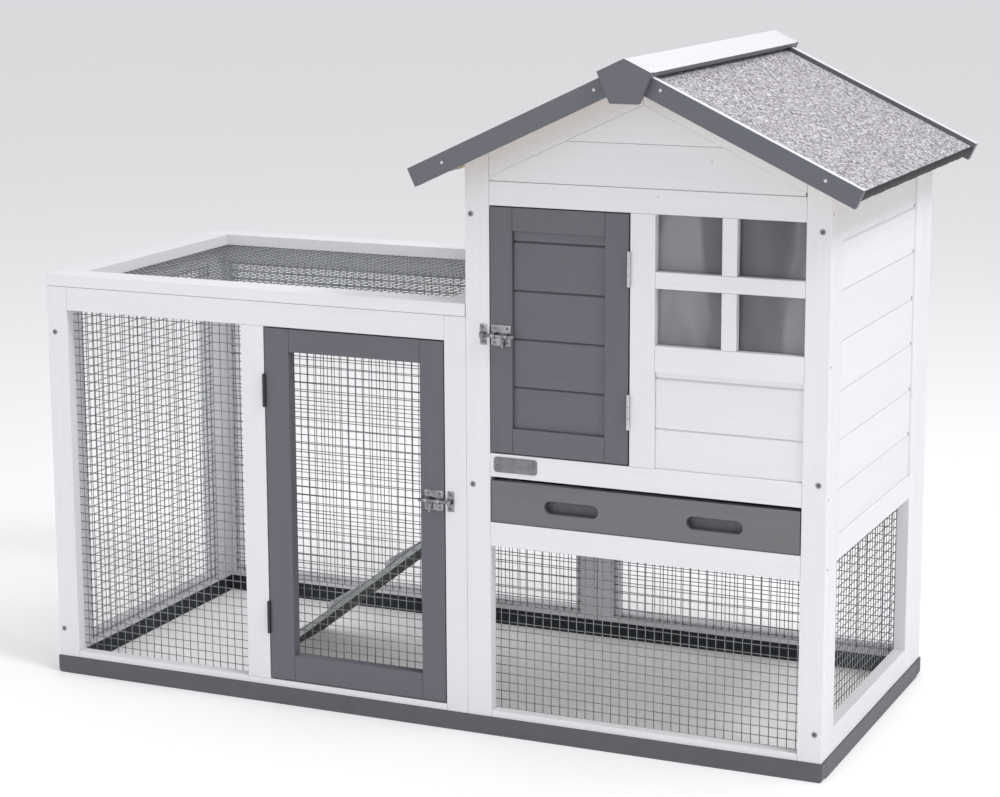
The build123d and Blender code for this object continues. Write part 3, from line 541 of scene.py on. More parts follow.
RD = (X_P2B + 2, X_P3A - 1.5, Z_RAIL + 2, RUN_TR - 2)
frame_piece("run_door_frame", [
    (RD[0], 405.5, 0, T, RD[2], RD[3]), (612, RD[1], 0, T, RD[2], RD[3]),
    (405.6, 611.9, 0.1, T, RD[2], 50), (405.6, 611.9, 0.1, T, 499, RD[3])], G, "run_door")
HD = (X_H1 + 1.5, X_M0 - 2, Z_SILL + 2, Z_HEAD - 1.5)
frame_piece("house_door_frame", [
    (HD[0], 753, 0, T, HD[2], HD[3]), (888, HD[1], 0, T, HD[2], HD[3]),
    (753.1, 887.9, 0.1, T, HD[2], 418), (753.1, 887.9, 0.1, T, 691.5, HD[3])], G, "house_door")


# ------------------------------------------------------------------ wire mesh
def wires(name, kind, u0, u1, v0, v1, w, sign, body, node):
    """Round welded wires: set A along v, set B along u, touching, on the plane w."""
    p = Piece(name)
    r = 0.64
    def pt(u, v, d):
        if kind == "xz":
            return (u, w + sign * d, v)
        if kind == "yz":
            return (w + sign * d, u, v)
        return (u, v, w + sign * d)
    def line(fix, a, b, first):
        n = max(3, int((b - a) / 60))
        ph, am = rnd.random() * 6.28, 0.22 + 0.25 * rnd.random()
        path = []
        for i in range(n + 1):
            t = a + (b - a) * i / n
            off = am * math.sin(ph + t / 47.0) * (0 if i in (0, n) else 1)
            path.append(pt(fix + off, t, 0.6) if first else pt(t, fix + off, 1.6))
        p.tube(path, r, M_WIRE, n=7, tone=rnd.random())
    for u in spread(u0 + 1, u1 - 1, PITCH):
        line(u, v0, v1, True)
    for v_ in spread(v0 + 1, v1 - 1, PITCH):
        line(v_, u0, u1, False)
    return p.done(body, (node,), wn=False)


wires("run_front_wires", "xz", X_P1 - LAP, X_P2A + LAP, Z_RAIL - LAP, RUN_TR + LAP, T, 1, "root", "run_front_mesh")
wires("run_left_wires", "yz", YL_ST - LAP, YL_BS + LAP, Z_BRAIL - LAP, RUN_TR + LAP, T, 1, "root", "run_left_mesh")
wires("run_back_wires", "xz", X_P1 - LAP, X_P3A - 1 + LAP, Z_BRAIL - LAP, RUN_TR + LAP, D - T - 2 * WIRE, 1, "root", "run_back_mesh")
wires("run_roof_wires", "xy", LW - LAP, X_P3B - 1 - LW + LAP, LY - LAP, D - LY + LAP, LZ0, -1, "root", "run_roof_mesh")
wires("run_door_wires", "xz", 405.5 - LAP, 612 + LAP, 50 - LAP, 499 + LAP, T, 1, "run_door", "run_door_mesh")
wires("lower_front_wires", "xz", X_H1 - LAP, X_R0 + LAP, Z_RAIL - LAP, Z_LOW + LAP, T, 1, "root", "lower_front_mesh")
wires("lower_right_wires", "yz", Y_ST - LAP, Y_BS + LAP, Z_SRAIL - LAP, 266.5 + LAP, L - T, -1, "root", "lower_right_mesh")
wires("lower_back_wires", "xz", X_H1 - LAP, X_R0 + LAP, Z_BRAIL - LAP, Z_LOW + LAP, D - T - 2 * WIRE, 1, "root", "lower_back_mesh")

# ------------------------------------------------------------------ house front
p = Piece("house_front_post_sticks")
p.prism([(X_H0 + .1, 0), (X_H1, 0), (X_H1, top(X_H1)), (X_H0 + .1, top(X_H0))], "y", 0, T, W["z"])
p.prism([(X_R0, 0), (L, 0), (L, top(L)), (X_R0, top(X_R0))], "y", 0, T, W["z"])
p.box(X_M0, X_M1, 0, T, Z_SILL + .1, Z_HEAD - .1, W)
p.done("root", ("house_front_posts",))

p = Piece("house_front_rail_sticks")
for s in ((X_H1 + .1, X_R0 - .1, 0.1, T, 0, Z_RAIL), (X_H1 + .1, X_R0 - .1, 0.1, T, Z_LOW, Z_TR0), (X_H1 + .1, X_R0 - .1, 0.1, T, Z_TR1, Z_SILL),
          (X_H1 + .1, X_R0 - .1, 0.1, T, Z_HEAD, 758), (X_M1 + .1, X_R0 - .1, 0.1, T, 513, 549)):
    p.box(*s, W)
p.done("root", ("house_front_rails",))

p = Piece("window_bar_sticks")
p.box(X_M1 + .1, X_R0 - .1, 0.2, 12, 626, 648.5, W)
p.box(1052, 1073, 0.3, 12, 549.2, 625.8, W)
p.box(1052, 1073, 0.3, 12, 648.7, Z_HEAD - .2, W)
p.done("root", ("window_bars",))

p = Piece("window_sheet")
p.box(X_M1 + .2, X_R0 - .2, 12.2, 14.4, 549.2, Z_HEAD - .2, M_PANE, bev=0.3, seg=1)
p.done("root", ("window_pane",))


def lap(p, axis, a, b, z0, z1, face, back, mat, groove=3.0):
    """Lap board: outline in depth and height, sloped top front edge."""
    g = groove if face < back else -groove
    p.prism([(face, z0), (back, z0), (back, z1), (face + g, z1), (face, z1 - groove)], axis, a, b, mat, bev=0.6)


p = Piece("house_front_board_set")
lap(p, "x", X_M1 + .2, X_R0 - .2, Z_SILL + .2, 436.6, 4, 13, W["x"])
lap(p, "x", X_M1 + .2, X_R0 - .2, 436.9, 505.7, 4, 13, W["x"])
p.box(X_M1 + .2, X_R0 - .2, 4, 13, 506, 512.8, W["x"], bev=0.5)
p.done("root", ("house_front_boards",))

p = Piece("gable_rafter_sticks")
for yr in (0, D - T):
    p.prism([(X_H1 + .2, low(X_H1)), (XC - .15, low(XC)), (XC - .15, top(XC)), (X_H1 + .2, top(X_H1))], "y", yr, yr + T, W["x"])
    p.prism([(X_R0 - .2, low(X_R0)), (XC + .15, low(XC)), (XC + .15, top(XC)), (X_R0 - .2, top(X_R0))], "y", yr, yr + T, W["x"])
p.done("root", ("gable_rafters",))


def gable(p, y0, y1):
    z1, z2 = 758.3, 816.3
    xa = max(XC - (Z_APEX - 37.3 - z1) / TAN, X_H1 + .2)
    xs = XC - (Z_APEX - 37.3 - z2) / TAN
    za = max(low(xa) - .3, z1 + 1)
    p.prism([(xa, z1), (2 * XC - xa, z1), (2 * XC - xa, za), (2 * XC - xs, z2), (xs, z2), (xa, za)], "y", y0, y1, W["x"], bev=0.6)
    xt = XC - (Z_APEX - 37.3 - z2 - .3) / TAN
    p.prism([(xt, z2 + .3), (2 * XC - xt, z2 + .3), (XC, low(XC) - .3)], "y", y0, y1, W["x"], bev=0.6)


p = Piece("gable_board_set_front")
gable(p, 1.2, 12)
p.done("root", ("gable_boards_front",))
p = Piece("gable_board_set_back")
gable(p, D - 12, D - 1.2)
p.done("root", ("gable_boards_back",))

p = Piece("house_door_board_set")
for za, zb in ((418.2, 476.2), (476.5, 543.3), (543.6, 610.3), (610.6, 677.6)):
    lap(p, "x", 753.2, 887.8, za, zb, 5, 14, G["x"])
p.box(753.2, 887.8, 5, 14, 677.9, 691.3, G["x"], bev=0.5)
p.done("house_door", ("house_door_boards",))

# ------------------------------------------------------------------ house sides and back
BZ = (300.0, 362.0, 428.3, 495.0, 561.5, 629.5, 695.0)
p = Piece("house_right_sticks")
for ya, yb in ((T + .1, Y_ST), (Y_BS, 454), (454.1, D - T - .1)):
    p.prism([(L - T, 0), (L, 0), (L, top(L)), (L - T, top(L - T))], "y", ya, yb, W["z"])
p.box(L - T, L - .1, Y_ST + .1, Y_BS - .1, 0, Z_SRAIL, W)
p.box(L - T, L - .1, Y_ST + .1, Y_BS - .1, 266.5, BZ[0], W)
p.done("root", ("house_right_frame",))

p = Piece("house_right_board_set")
for i in range(6):
    z0, z1 = BZ[i] + .3, BZ[i + 1]
    p.prism([(L - 12, z0), (L - 3, z0), (L - 3, z1 - 3), (L - 6, z1), (L - 12, z1)], "y", Y_ST + .2, Y_BS - .2, W["y"], bev=0.6)
p.prism([(L - 12, BZ[6] + .3), (L - 3, BZ[6] + .3), (L - 3, top(L - 3)), (L - 12, top(L - 12))], "y", Y_ST + .2, Y_BS - .2, W["y"], bev=0.6)
p.done("root", ("house_right_boards",))

XL0 = X_H0 + 1.0
p = Piece("house_left_sticks")
for ya, yb in ((T + .1, Y_ST), (Y_BS, 454), (454.1, D - T - .1)):
    p.prism([(XL0, Z_LOW), (XL0 + T, Z_LOW), (XL0 + T, top(XL0 + T)), (XL0, top(XL0))], "y", ya, yb, W["z"])
p.box(XL0 + .1, XL0 + T, Y_ST + .1, Y_BS - .1, 283, 318, W)
p.done("root", ("house_left_frame",))

EN = (150.0, 354.0, 352.0, 545.0)
p = Piece("house_left_board_set")
xa, xb = XL0 + 3, XL0 + 12
y0, y1 = Y_ST + .2, Y_BS - .2


def left_board(z0, z1, ya, yb):
    p.prism([(xa, z0), (xb, z0), (xb, z1), (xa + 3, z1), (xa, z1 - 3)], "y", ya, yb, W["y"], bev=0.6)


p.box(xa, xb, y0, y1, 318.3, EN[2] - .3, W["y"], bev=0.6)
for ya, yb in ((y0, EN[0]), (EN[1], y1)):
    left_board(EN[2], 428.0, ya, yb)
    left_board(428.3, 494.7, ya, yb)
    p.box(xa, xb, ya, yb, 495.0, EN[3] - .3, W["y"], bev=0.6)
left_board(EN[3], 611.0, y0, y1)
left_board(611.3, 677.6, y0, y1)
left_board(677.9, 744.3, y0, y1)
p.prism([(xa, 744.6), (xb, 744.6), (xb, top(xb)), (xa, top(xa))], "y", y0, y1, W["y"], bev=0.6)
p.done("root", ("house_left_boards",))

p = Piece("house_back_sticks")
p.prism([(X_H0 + 1, 0), (X_H1, 0), (X_H1, top(X_H1)), (X_H0 + 1, top(X_H0 + 1))], "y", D - T, D, W["z"])
p.prism([(X_R0, 0), (L, 0), (L, top(L)), (X_R0, top(X_R0))], "y", D - T, D, W["z"])
for s in ((X_H1 + .1, X_R0 - .1, D - T, D - .1, 0, Z_BRAIL), (X_H1 + .1, X_R0 - .1, D - T, D - .1, Z_LOW, Z_TR0), (X_H1 + .1, X_R0 - .1, D - T, D - .1, Z_HEAD, 758)):
    p.box(*s, W)
p.done("root", ("house_back_frame",))

p = Piece("house_back_board_set")
zz = (Z_TR0, 349.0, 415.6, 482.2, 548.8, 615.4, 682.0, Z_HEAD)
for za, zb in zip(zz[:-1], zz[1:]):
    p.prism([(D - 12, za + .3), (D - 3, za + .3), (D - 3, zb - 3), (D - 6, zb), (D - 12, zb)], "x", X_H1 + .2, X_R0 - .2, W["x"], bev=0.6)
p.done("root", ("house_back_boards",))

# ------------------------------------------------------------------ tray
p = Piece("tray_runner_sticks")
p.box(XL0 + T, XL0 + T + 34, T + 4, D - T, 266, Z_TR0, BARE)
p.box(L - T - 36.5, L - T - 2.5, T + 4, D - T, 266, Z_TR0, BARE)
p.done("root", ("tray_runners",))


def stadium(xc, zc, w, h, n=12):
    r = h / 2
    pts = []
    for k in range(n + 1):
        a = -math.pi / 2 + math.pi * k / n
        pts.append((xc + w / 2 - r + r * math.cos(a), zc + r * math.sin(a)))
    for k in range(n + 1):
        a = math.pi / 2 + math.pi * k / n
        pts.append((xc - w / 2 + r + r * math.cos(a), zc + r * math.sin(a)))
    return pts


def slotted_front():
    """Drawer front with two stadium finger slots, softly rounded rims."""
    x0, x1, z0, z1, t = X_H1 + 1.5, X_R0 - 1.5, Z_TR0 + 1, 342.5, 12.0
    slots = [stadium(839.3, 311.8, 79, 18), stadium(1045.7, 311.8, 79, 18)]
    bm = bmesh.new()
    rb = 1.0
    def loop(pts, y):
        return [bm.verts.new(P(x, y, z)) for x, z in pts]
    def grow(pts, d, c):
        out = []
        n = len(pts)
        for i in range(n):
            a, b, e = pts[i - 1], pts[i], pts[(i + 1) % n]
            tx, tz = e[0] - a[0], e[1] - a[1]
            ln = math.hypot(tx, tz) or 1
            nx, nz = tz / ln, -tx / ln
            out.append((b[0] + nx * d, b[1] + nz * d))
        return out
    outer = [(x0, z0), (x1, z0), (x1, z1), (x0, z1)]
    inset = [(x0 + rb, z0 + rb), (x1 - rb, z0 + rb), (x1 - rb, z1 - rb), (x0 + rb, z1 - rb)]
    def face_with_holes(y, rim):
        lo = loop(inset, y)
        hs = [loop(grow(s, 1.4, None), y) for s in slots]
        es = []
        for lp in [lo] + hs:
            es += [bm.edges.new((lp[i], lp[(i + 1) % len(lp)])) for i in range(len(lp))]
        bmesh.ops.triangle_fill(bm, edges=es, use_beauty=True, use_dissolve=False)
        return lo, hs
    def bridge(a, b):
        n = len(a)
        for i in range(n):
            bm.faces.new((a[i], a[(i + 1) % n], b[(i + 1) % n], b[i]))
    fo, fh = face_with_holes(0.0, True)
    bo, bh = face_with_holes(t, False)
    of, ob = loop(outer, rb), loop(outer, t - rb)
    bridge(fo, of)
    bridge(of, ob)
    bridge(ob, bo)
    for s, a, b in zip(slots, fh, bh):
        m1, m2 = loop(grow(s, 0.4, None), 0.45), loop(s, 1.4)
        m3, m4 = loop(s, t - 1.4), loop(grow(s, 0.4, None), t - 0.45)
        bridge(a, m1)
        bridge(m1, m2)
        bridge(m2, m3)
        bridge(m3, m4)
        bridge(m4, b)
    bmesh.ops.recalc_face_normals(bm, faces=bm.faces[:])
    return bm


p = Piece("tray_front_board")
p.add(slotted_front(), DR["x"], smooth=False)
p.done("tray", ("tray_front",), wn=False)

p = Piece("tray_pan_sheet")
tx0, tx1, ty1, tz0, tz1 = X_H1 + 5.5, X_R0 - 5.5, D - T - 5, Z_TR0 + 1, 322.0
bm = bmesh.new()
ring = [(tx0, 12, tx1, ty1)]


def rrect(xa, xb, ya, yb, r, z, n=5):
    out = []
    for cx, cy, a0 in ((xb - r, ya + r, -90), (xb - r, yb - r, 0), (xa + r, yb - r, 90), (xa + r, ya + r, 180)):
        for k in range(n + 1):
            a = math.radians(a0 + 90 * k / n)
            out.append(bm.verts.new(P(cx + r * math.cos(a), cy + r * math.sin(a), z)))
    return out


loops = [rrect(tx0, tx1, 12.1, ty1, 4, tz1), rrect(tx0, tx1, 12.1, ty1, 4, tz0 + 3), rrect(tx0 + 1, tx1 - 1, 13.1, ty1 - 1, 4, tz0 + .8), rrect(tx0 + 3, tx1 - 3, 15.1, ty1 - 3, 4, tz0)]
inner = [rrect(tx0 + 3.2, tx1 - 3.2, 15.3, ty1 - 3.2, 4, tz0 + 1), rrect(tx0 + 1, tx1 - 1, 13.1, ty1 - 1, 3.5, tz0 + 3.2), rrect(tx0 + 1, tx1 - 1, 13.1, ty1 - 1, 3.5, tz1)]
seq = loops + inner
for a, b in zip(seq[:3], seq[1:4]):
    for i in range(len(a)):
        bm.faces.new((a[i], a[(i + 1) % len(a)], b[(i + 1) % len(a)], b[i]))
for a, b in zip(inner[:2], inner[1:]):
    for i in range(len(a)):
        bm.faces.new((a[i], a[(i + 1) % len(a)], b[(i + 1) % len(a)], b[i]))
a, b = loops[0], inner[2]
for i in range(len(a)):
    bm.faces.new((a[i], a[(i + 1) % len(a)], b[(i + 1) % len(a)], b[i]))
bm.faces.new(loops[3])
bm.faces.new(inner[0])
bmesh.ops.recalc_face_normals(bm, faces=bm.faces[:])
p.add(bm, M_TRAY)
p.done("tray", ("tray_pan",))

# ------------------------------------------------------------------ roof
PY0, PY1 = YB0 + BARGE_T, YB1 - BARGE_T


def slope_pt(side, along, up):
    return (XC + side * (along * COS + up * SIN), Z_APEX - along * SIN + up * COS)


def ridge_pt(side, up, gap=0.1):
    return (XC + side * gap, Z_APEX + up / COS - gap * TAN)


RUN_OUT = (EAVE - XC - (ROOF_T + FELT_T) * SIN) / COS
for side, nm in ((-1, "left"), (1, "right")):
    p = Piece("roof_panel_%s_sheet" % nm)
    p.prism([ridge_pt(side, 0), slope_pt(side, RUN_OUT, 0), slope_pt(side, RUN_OUT, ROOF_T), ridge_pt(side, ROOF_T)], "y", PY0, PY1, BARE["y"], bev=0.8)
    p.done("root", ("roof_panel_" + nm,))
    # felt: gently uneven sheet whose rolled edge hangs over the eave
    p = Piece("roof_felt_%s_sheet" % nm)
    bm = bmesh.new()
    nv = 90
    rows = [(8.0 + (RUN_OUT - 11.0) * i / 42, ROOF_T + FELT_T - 0.35, 8.0 + (RUN_OUT - 8.0) * i / 42, ROOF_T + 0.05) for i in range(43)]
    # the rolled edge turns down over the panel's end
    for k in range(1, 7):
        a = math.radians(90 * k / 6)
        rows.append((RUN_OUT - 3.0 + 5.4 * math.sin(a), ROOF_T + FELT_T - 5.75 + 5.4 * math.cos(a), RUN_OUT + 0.1, ROOF_T + 0.05 - 0.4 * k))
    for k in range(1, 4):
        rows.append((RUN_OUT + 2.4 - 0.25 * k, ROOF_T - 3.55 - 2.1 * k, RUN_OUT + 0.1, ROOF_T - 2.4 - 2.4 * k))
    grid_t, grid_b = [], []
    for i, (at, ut, ab, ub) in enumerate(rows):
        ra, rb_ = [], []
        for j in range(nv + 1):
            y = PY0 + .4 + (PY1 - PY0 - .8) * j / nv
            wob = 0.15 * math.sin(at / 31.0 + 1.3 * side) * math.sin(y / 57.0) + 0.1 * math.sin(at / 11.0 + y / 23.0)
            rag = 0.35 * math.sin(y / 13.0 + side) + 0.25 * math.sin(y / 5.3) if i > len(rows) - 4 else 0.0
            x, z = slope_pt(side, at, ut + (wob if i < 40 else 0.0) + rag)
            ra.append(bm.verts.new(P(x, y, z)))
            x, z = slope_pt(side, ab, ub + rag)
            rb_.append(bm.verts.new(P(x, y, z)))
        grid_t.append(ra)
        grid_b.append(rb_)
    nu = len(rows) - 1
    for i in range(nu):
        for j in range(nv):
            bm.faces.new((grid_t[i][j], grid_t[i][j + 1], grid_t[i + 1][j + 1], grid_t[i + 1][j]))
            bm.faces.new((grid_b[i][j], grid_b[i + 1][j], grid_b[i + 1][j + 1], grid_b[i][j + 1]))
    for j in range(nv):
        bm.faces.new((grid_t[0][j], grid_b[0][j], grid_b[0][j + 1], grid_t[0][j + 1]))
        bm.faces.new((grid_t[nu][j], grid_t[nu][j + 1], grid_b[nu][j + 1], grid_b[nu][j]))
    for i in range(nu):
        bm.faces.new((grid_t[i][0], grid_t[i + 1][0], grid_b[i + 1][0], grid_b[i][0]))
        bm.faces.new((grid_t[i][nv], grid_b[i][nv], grid_b[i + 1][nv], grid_t[i + 1][nv]))
    bmesh.ops.recalc_face_normals(bm, faces=bm.faces[:])
    p.add(bm, M_FELT, pick=lambda n, c: M_BITUMEN if n.z < 0.72 else None)
    p.done("root", ("roof_felt_" + nm,), wn=False)

B_UP = 18.3
B_OUT = (BARGE_X - XC - B_UP * SIN) / COS
p = Piece("barge_board_set")
for yb in (YB0, YB1 - BARGE_T):
    for side in (-1, 1):
        lo_, hi_ = B_UP - BARGE_H, B_UP
        # up-facing barge edges take the pale paint: painted highlight
        p.prism([ridge_pt(side, lo_), slope_pt(side, B_OUT, lo_), slope_pt(side, B_OUT, hi_), ridge_pt(side, hi_)], "y", yb, yb + BARGE_T, G["x"], bev=1.0,
                pick=lambda n, c: TOP_HIGHLIGHT_PAINT["x"] if n.z > 0.55 else None)
p.done("root", ("barge_boards",))

CAP_W, CAP_T, CAP_UP = 30.0, 7.0, B_UP + 0.2
p = Piece("ridge_cap_board_set")
for side in (-1, 1):
    # up-facing ridge-cap faces take the pale paint: painted highlight
    p.prism([ridge_pt(side, CAP_UP), slope_pt(side, CAP_W, CAP_UP), slope_pt(side, CAP_W, CAP_UP + CAP_T), ridge_pt(side, CAP_UP + CAP_T)], "y", YC0 + 10, YC1 - 10, G["y"], bev=0.9,
            pick=lambda n, c: TOP_HIGHLIGHT_PAINT["y"] if n.z > 0.55 else None)
p.done("root", ("ridge_cap_boards",))
CX = CAP_W * COS + (CAP_UP + CAP_T) * SIN
CZ = Z_APEX - CAP_W * SIN + (CAP_UP + CAP_T) * COS
CA = Z_APEX + (CAP_UP + CAP_T) / COS
p = Piece("gable_cap_set")
for ya, yb in ((YC0, YC0 + 9.8), (YC1 - 9.8, YC1)):
    # upper faces of the gable caps take the pale paint: painted highlight
    p.prism([(XC, CA), (XC + CX, CZ), (XC + 20, 875), (XC - 20, 875), (XC - CX, CZ)], "y", ya, yb, G["z"], bev=1.1, seg=3,
            pick=lambda n, c: TOP_HIGHLIGHT_PAINT["x"] if n.z > 0.8 else None)
p.done("root", ("gable_caps",))

# ------------------------------------------------------------------ ramp
ra = math.radians(38.1)
RTX, RTZ, RT = XL0 - 1.5, 311.0, 9.0
RLEN = (RTZ + SK_H) / math.sin(ra)


def ramp_pt(s, up):
    return (RTX - s * math.cos(ra) - up * math.sin(ra), RTZ - s * math.sin(ra) + up * math.cos(ra))


p = Piece("ramp_plank_board")
# faces with a steep normal (underside and top) take the near-black paint: painted shade
p.prism([ramp_pt(3, 0), ramp_pt(RLEN, 0), ramp_pt(RLEN - RT / math.tan(ra), -RT), ramp_pt(8, -RT)], "y", 152, 352, RAMPM["x"], bev=0.9,
        pick=lambda n, c: RAMP_SHADE["x"] if abs(n.z) > 0.3 else None)
p.done("ramp", ("ramp_plank",))
p = Piece("ramp_cleat_set")
for s in (122, 246.5, 371, 495.5):
    p.prism([ramp_pt(s, 0.05), ramp_pt(s + 14, 0.05), ramp_pt(s + 14, 8), ramp_pt(s, 8)], "y", 156, 348, W["y"], bev=0.9)
p.done("ramp", ("ramp_cleats",))


# ------------------------------------------------------------------ hardware
def disc(p, c, r, h, mat, axis="y", n=20, dome=0.35, tone=None):
    """A low domed head on a face, standing out towards -axis (or +axis when h < 0)."""
    bm = bmesh.new()
    prof = [(1.0, 0.0), (1.0, 0.35), (0.9, 0.68), (0.62, 0.9), (0.3, 0.985)]
    rings = []
    for rr, hh in prof:
        ring = []
        for k in range(n):
            a = 2 * math.pi * k / n
            u, w_ = r * rr * math.cos(a), r * rr * math.sin(a)
            if axis == "y":
                ring.append(bm.verts.new(P(c[0] + u, c[1] - h * hh, c[2] + w_)))
            else:
                ring.append(bm.verts.new(P(c[0] + h * hh, c[1] + u, c[2] + w_)))
        rings.append(ring)
    for a, b in zip(rings, rings[1:]):
        for i in range(n):
            bm.faces.new((a[i], a[(i + 1) % n], b[(i + 1) % n], b[i]))
    bm.faces.new(rings[0])
    bm.faces.new(rings[-1])
    bmesh.ops.recalc_face_normals(bm, faces=bm.faces[:])
    p.add(bm, mat, tone)


def cross_recess(p, c, r, h, axis="y", turn=0.0):
    """Cross recess as a shallow near-black star set into the head's crown, its top just proud of it: painted shade
    standing for the hollow.
    """
    bm = bmesh.new()
    w = r * 0.17
    le = r * 0.62
    base = [(le, -w), (le, w), (w, w), (w, le), (-w, le), (-w, w), (-le, w), (-le, -w), (-w, -w), (-w, -le), (w, -le), (w, -w)]
    ct, st = math.cos(turn), math.sin(turn)
    pts = [(a * ct - b * st, a * st + b * ct) for a, b in base]
    def mk(q, d):
        return bm.verts.new(P(c[0] + q[0], c[1] - d, c[2] + q[1]) if axis == "y" else P(c[0] + d, c[1] + q[0], c[2] + q[1]))
    lo_ = [mk(q, h * 0.6) for q in pts]
    hi_ = [mk(q, h * 1.0) for q in pts]
    bm.faces.new(lo_)
    bm.faces.new(hi_)
    for i in range(12):
        bm.faces.new((lo_[i], lo_[(i + 1) % 12], hi_[(i + 1) % 12], hi_[i]))
    bmesh.ops.recalc_face_normals(bm, faces=bm.faces[:])
    p.add(bm, M_RECESS_SHADE_DARK_NAILS, smooth=False)


def screw(p, x, y, z, r, h=1.0, turn=0.4):
    disc(p, (x, y, z), r, h, M_SCREW)
    cross_recess(p, (x, y, z), r, h + 0.04, turn=turn)


p = Piece("screw_set")
for i, (x, z) in enumerate([(12.5, 500.5), (9.0, 43.0), (691.8, 712.0), (693.0, 334.7), (1187.5, 713.7), (1188.5, 380.5), (1190.0, 40.0)]):
    screw(p, x, 0, z, 4.0, 1.0, turn=0.3 + i * 0.55)
for x, z in ((895.6, 891.0), (987.0, 893.0), (677.5, 787.4), (1207.5, 787.4)):
    disc(p, (x, YB0, z), 2.2, 0.6, M_PIN, n=14)
    disc(p, (x, YB1, z), 2.2, -0.6, M_PIN, n=14)
p.done("root", ("screws",), wn=False)

p = Piece("brad_set")
for x, z in ((962.7, 748.0), (1036.5, 797.7)):
    disc(p, (x, 1.3 if z > 760 else 0.1, z), 1.5, 0.45, M_PIN, n=12)
for y, z in ((6.0, 736.5), (7.0, 537.0), (8.0, 360.0), (10.0, 265.0)):
    disc(p, (L, y, z), 1.7, 0.4, M_SCREW, axis="x", n=12)
# dark nail heads, in the same near-black steel as the painted recess shade
for z in (695.5, 629.8, 561.8, 495.3, 428.6, 362.3):
    disc(p, (L - 3, Y_BS - 5.5, z + 2.5), 1.9, 0.5, M_RECESS_SHADE_DARK_NAILS, axis="x", n=12)
p.done("root", (), wn=False)


def rounded(xa, xb, za, zb, r, n=5):
    out = []
    for cx, cz, a0 in ((xb - r, za + r, -90), (xb - r, zb - r, 0), (xa + r, zb - r, 90), (xa + r, za + r, 180)):
        for k in range(n + 1):
            a = math.radians(a0 + 90 * k / n)
            out.append((cx + r * math.cos(a), cz + r * math.sin(a)))
    return out


p = Piece("name_plate_blank")
p.prism(rounded(725, 789.5, 355.5, 377, 4.5), "y", -1.2, 0, M_PLATE, bev=0.35, seg=2)
p.prism(rounded(727.5, 787, 358, 374.5, 3.0), "y", -1.5, -1.1, M_PLATE, bev=0.15, seg=1)
for x in (730.5, 784.0):
    disc(p, (x, -1.1, 366.2), 1.5, 0.5, M_DARK, n=14)
p.done("root", ("name_plate",))

HINGE_L, KN, PIN = 48.0, 2.4, 1.0


def hinge(nm, body, xp, toward, zc_list, mat, moving, node):
    p = Piece(nm)
    ax, ay = xp + toward * 1.0, -2.6
    third = HINGE_L / 3
    for zc in zc_list:
        z0, z1 = zc - HINGE_L / 2, zc + HINGE_L / 2
        segs = [(zc - third / 2 + .35, zc + third / 2 - .35)] if moving else [(z0, z0 + third), (z1 - third, z1)]
        xa_, xb_ = sorted((xp + toward * (1.3 if moving else 0.0), xp + toward * (2.0 if moving else 0.7)))
        for a, b in segs:
            c = 0.5
            if moving:
                path = [(ax, ay, a), (ax, ay, a + c), (ax, ay, b - c), (ax, ay, b)]
                ringtube(p, ax, ay, a, b, KN, PIN + .3, mat)
            else:
                p.tube([(ax, ay, a), (ax, ay, a + .01), (ax, ay, a + c), (ax, ay, b - c), (ax, ay, b - .01), (ax, ay, b)], [KN - c, KN - c, KN, KN, KN - c, KN - c], mat, n=20)
            p.box(xa_, xb_, ay, 1.0, a + .2, b - .2, mat, bev=0.1, seg=1)
        if not moving:
            p.tube([(ax, ay, z0 - .0), (ax, ay, z1)], PIN, mat, n=14)
        p.box(xa_, xb_, 0.6, 15, z0, z1, mat, bev=0.15, seg=1)
    p.done(body, (node,))


def ringtube(p, x, y, z0, z1, r1, r0, mat, n=20):
    bm = bmesh.new()
    c = 0.4
    prof = [(r0, z0), (r1 - c, z0), (r1, z0 + c), (r1, z1 - c), (r1 - c, z1), (r0, z1)]
    rings = [[bm.verts.new(P(x + r * math.cos(2 * math.pi * k / n), y + r * math.sin(2 * math.pi * k / n), z)) for k in range(n)] for r, z in prof]
    for i in range(len(rings)):
        a, b = rings[i], rings[(i + 1) % len(rings)]
        for k in range(n):
            bm.faces.new((a[k], a[(k + 1) % n], b[(k + 1) % n], b[k]))
    bmesh.ops.recalc_face_normals(bm, faces=bm.faces[:])
    p.add(bm, mat)


hinge("run_hinge_leaf_fixed", "root", X_P2B, 1, (104.0, 441.0), M_DARK, False, "run_door_hinges_fixed")
hinge("run_hinge_leaf_moving", "run_door", X_P2B, 1, (104.0, 441.0), M_DARK, True, "run_door_hinges_moving")
hinge("house_hinge_leaf_fixed", "root", X_M0, -1, (456.0, 650.0), M_LEAF, False, "house_door_hinges_fixed")
hinge("house_hinge_leaf_moving", "house_door", X_M0, -1, (456.0, 650.0), M_LEAF, True, "house_door_hinges_moving")

ROD, BY = 2.4, -6.2


